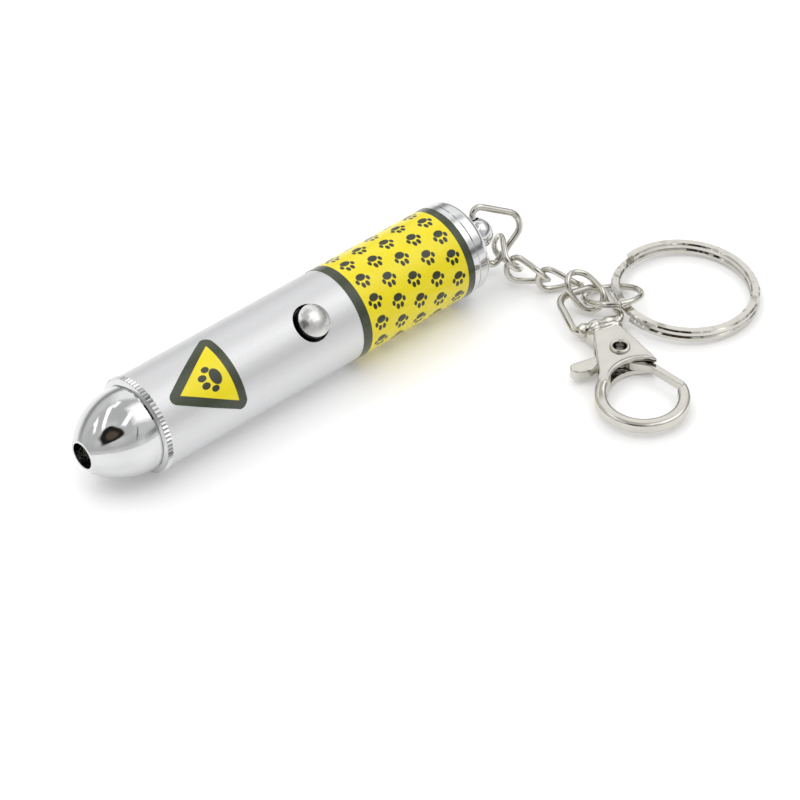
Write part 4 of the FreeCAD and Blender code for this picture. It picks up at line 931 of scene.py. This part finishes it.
def make_casting(clasp, name, sources, reshape):
    """Solids fused into one casting with soft edges, then reshaped."""
    piece = gather(clasp, name, sources)
    fuse = piece.modifiers.new("fuse", "REMESH")
    fuse.mode = "VOXEL"
    fuse.voxel_size = CASTING_CELL
    soften = piece.modifiers.new("soften", "SMOOTH")
    soften.iterations = CASTING_ROUNDING
    bpy.context.view_layer.update()
    shape = bpy.data.meshes.new_from_object(piece.evaluated_get(bpy.context.evaluated_depsgraph_get()))
    piece.modifiers.clear()
    shape.materials.clear()
    piece.data = shape
    return put_back(clasp, piece, reshape)


def finish_piece(piece, body, material, replaced=None):
    piece.data.materials.append(material)
    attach(piece, body)
    if replaced:
        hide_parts(replaced)


clasp = Clasp()
finish_piece(make_boss(clasp), "swivel", cast_nickel)
swellings = [
    make_crown(clasp),
    make_shoulder(clasp),
    make_throat_bead(clasp, "throat_bead_top", 1),
    make_throat_bead(clasp, "throat_bead_bottom", -1),
]
casting = make_casting(clasp, "clasp_casting", [nodes["clasp_body"]] + swellings, slim_hook)
finish_piece(casting, "clasp", cast_nickel, "clasp_body")
for swelling in swellings:
    bpy.data.objects.remove(swelling)
gate = make_casting(clasp, "gate_and_lever", [nodes["clasp_trigger"]], trim_gate)
finish_piece(gate, "trigger", cast_nickel, "clasp_trigger")
spring = put_back(clasp, gather(clasp, "coiled_spring", [nodes["trigger_spring"]]), shorten_leg)
finish_piece(spring, "clasp", spring_steel, "trigger_spring")
finish_piece(make_rivet(clasp), "clasp", nickel, "clasp_rivet")


# Floor, light and camera
def make_floor():
    corners = [(-FLOOR_HALF, -FLOOR_HALF, 0), (FLOOR_HALF, -FLOOR_HALF, 0),
               (FLOOR_HALF, FLOOR_HALF, 0), (-FLOOR_HALF, FLOOR_HALF, 0)]
    mesh = bpy.data.meshes.new("floor")
    mesh.from_pydata(corners, [], [(0, 1, 2, 3)])
    floor = add_piece("floor", mesh)
    t = Tree("pale_floor")
    shade = t.mix(t.vary(t.noise(FLOOR_CLOUDS)), *map(grey, FLOOR_GREYS))
    roughness = t.vary(t.noise(FLOOR_GRAIN), *FLOOR_ROUGHNESS)
    mesh.materials.append(t.set(Base_Color=shade, Roughness=roughness,
                                Emission_Color=grey(1.0), Emission_Strength=FLOOR_GLOW))


def make_lamp(name, place, size, power):
    data = bpy.data.lights.new(name, "AREA")
    data.shape = "RECTANGLE"
    data.size, data.size_y = size
    data.energy = power
    lamp = bpy.data.objects.new(name, data)
    lamp.location = place
    lamp.rotation_mode = "QUATERNION"
    lamp.rotation_quaternion = (-Vector(place)).to_track_quat("-Z", "Y")
    lamp.visible_glossy = False
    bpy.context.scene.collection.objects.link(lamp)


def panel(t, heading, middle, along, half_length, half_width, softness):
    """1 where a heading looks into a rectangle of the studio, with a soft edge."""
    middle = Vector(middle).normalized()
    upward = middle.cross(Vector(along)).normalized()
    along = upward.cross(middle)
    ahead = t.math("MAXIMUM", t.dot(heading, middle), LEAST_AHEAD)
    a = t.math("ABSOLUTE", t.math("DIVIDE", t.dot(heading, along / half_length), ahead))
    b = t.math("ABSOLUTE", t.math("DIVIDE", t.dot(heading, upward / half_width), ahead))
    return t.spread(t.math("MAXIMUM", a, b), 1 - softness, 1 + softness, 1.0, 0.0)


def make_walls(t, heading):
    """Brightness of the walls by height, with darker patches."""
    ramp = t.new("ShaderNodeValToRGB")
    t.link(t.axes(heading)[2], ramp.inputs[0])
    ramp.color_ramp.interpolation = "EASE"
    elements = ramp.color_ramp.elements
    for element, (position, level) in zip(elements, (WALL_LEVELS[0], WALL_LEVELS[-1])):
        element.position = position
        element.color = grey(level)
    for position, level in WALL_LEVELS[1:-1]:
        elements.new(position).color = grey(level)
    patches = t.spread(t.noise(PATCH_SCALE, detail=1.0, roughness=0.4, place=heading), *PATCH_RANGE)
    return t.mix(patches, t.scaled((PATCH_SHADE,) * 3, ramp.outputs[0]), ramp.outputs[0])


def make_stand(t, heading, colour):
    """The dark camera stand over what is behind it."""
    uneven = t.math("SUBTRACT", t.noise(STAND_SCALE, detail=0.0, place=heading), 0.5)
    uneven = t.math("MULTIPLY", uneven, STAND_UNEVEN)
    away = t.math("ADD", t.distance(heading, STAND_MIDDLE), uneven)
    stand = t.mix(t.spread(away, WARM_INNER, WARM_OUTER, 1.0, 0.0), STAND_DARK, STAND_WARM)
    return t.mix(t.spread(away, STAND_INNER, STAND_OUTER, 1.0, 0.0), colour, stand)


def make_world():
    """White studio with softboxes and a few dark gaps for the plated pieces to reflect."""
    world = bpy.data.worlds.new("studio")
    bpy.context.scene.world = world
    world.use_nodes = True
    t = Nodes(world.node_tree)
    output = t.new("ShaderNodeOutputWorld")
    back = t.new("ShaderNodeBackground")
    t.tree.links.new(back.outputs[0], output.inputs["Surface"])
    heading = t.new("ShaderNodeTexCoord").outputs["Generated"]
    colour = make_walls(t, heading)
    for *outline, level in PANELS:
        colour = t.mix(panel(t, heading, *outline), colour, grey(level))
    t.link(make_stand(t, heading, colour), back.inputs["Color"])
    back.inputs["Strength"].default_value = WORLD_STRENGTH


def make_camera():
    data = bpy.data.cameras.new("camera")
    camera = bpy.data.objects.new("camera", data)
    data.sensor_width = SENSOR_WIDTH
    data.lens = FOCAL_PIXELS * SENSOR_WIDTH / PICTURE_PIXELS
    data.clip_start = CLIP_START
    data.clip_end = CLIP_END
    spot = Vector((APERTURE_X, AXIS_Y, AXIS_Z)) + CAMERA_PLACE
    turn = Euler((CAMERA_TILT, 0.0, CAMERA_TURN)).to_matrix()
    camera.matrix_world = Matrix.Translation(spot) @ turn.to_4x4()
    bpy.context.scene.collection.objects.link(camera)
    bpy.context.scene.camera = camera


make_floor()
make_world()
for lamp in LAMPS:
    make_lamp(*lamp)
make_camera()
bpy.context.scene.view_settings.view_transform = "Standard"
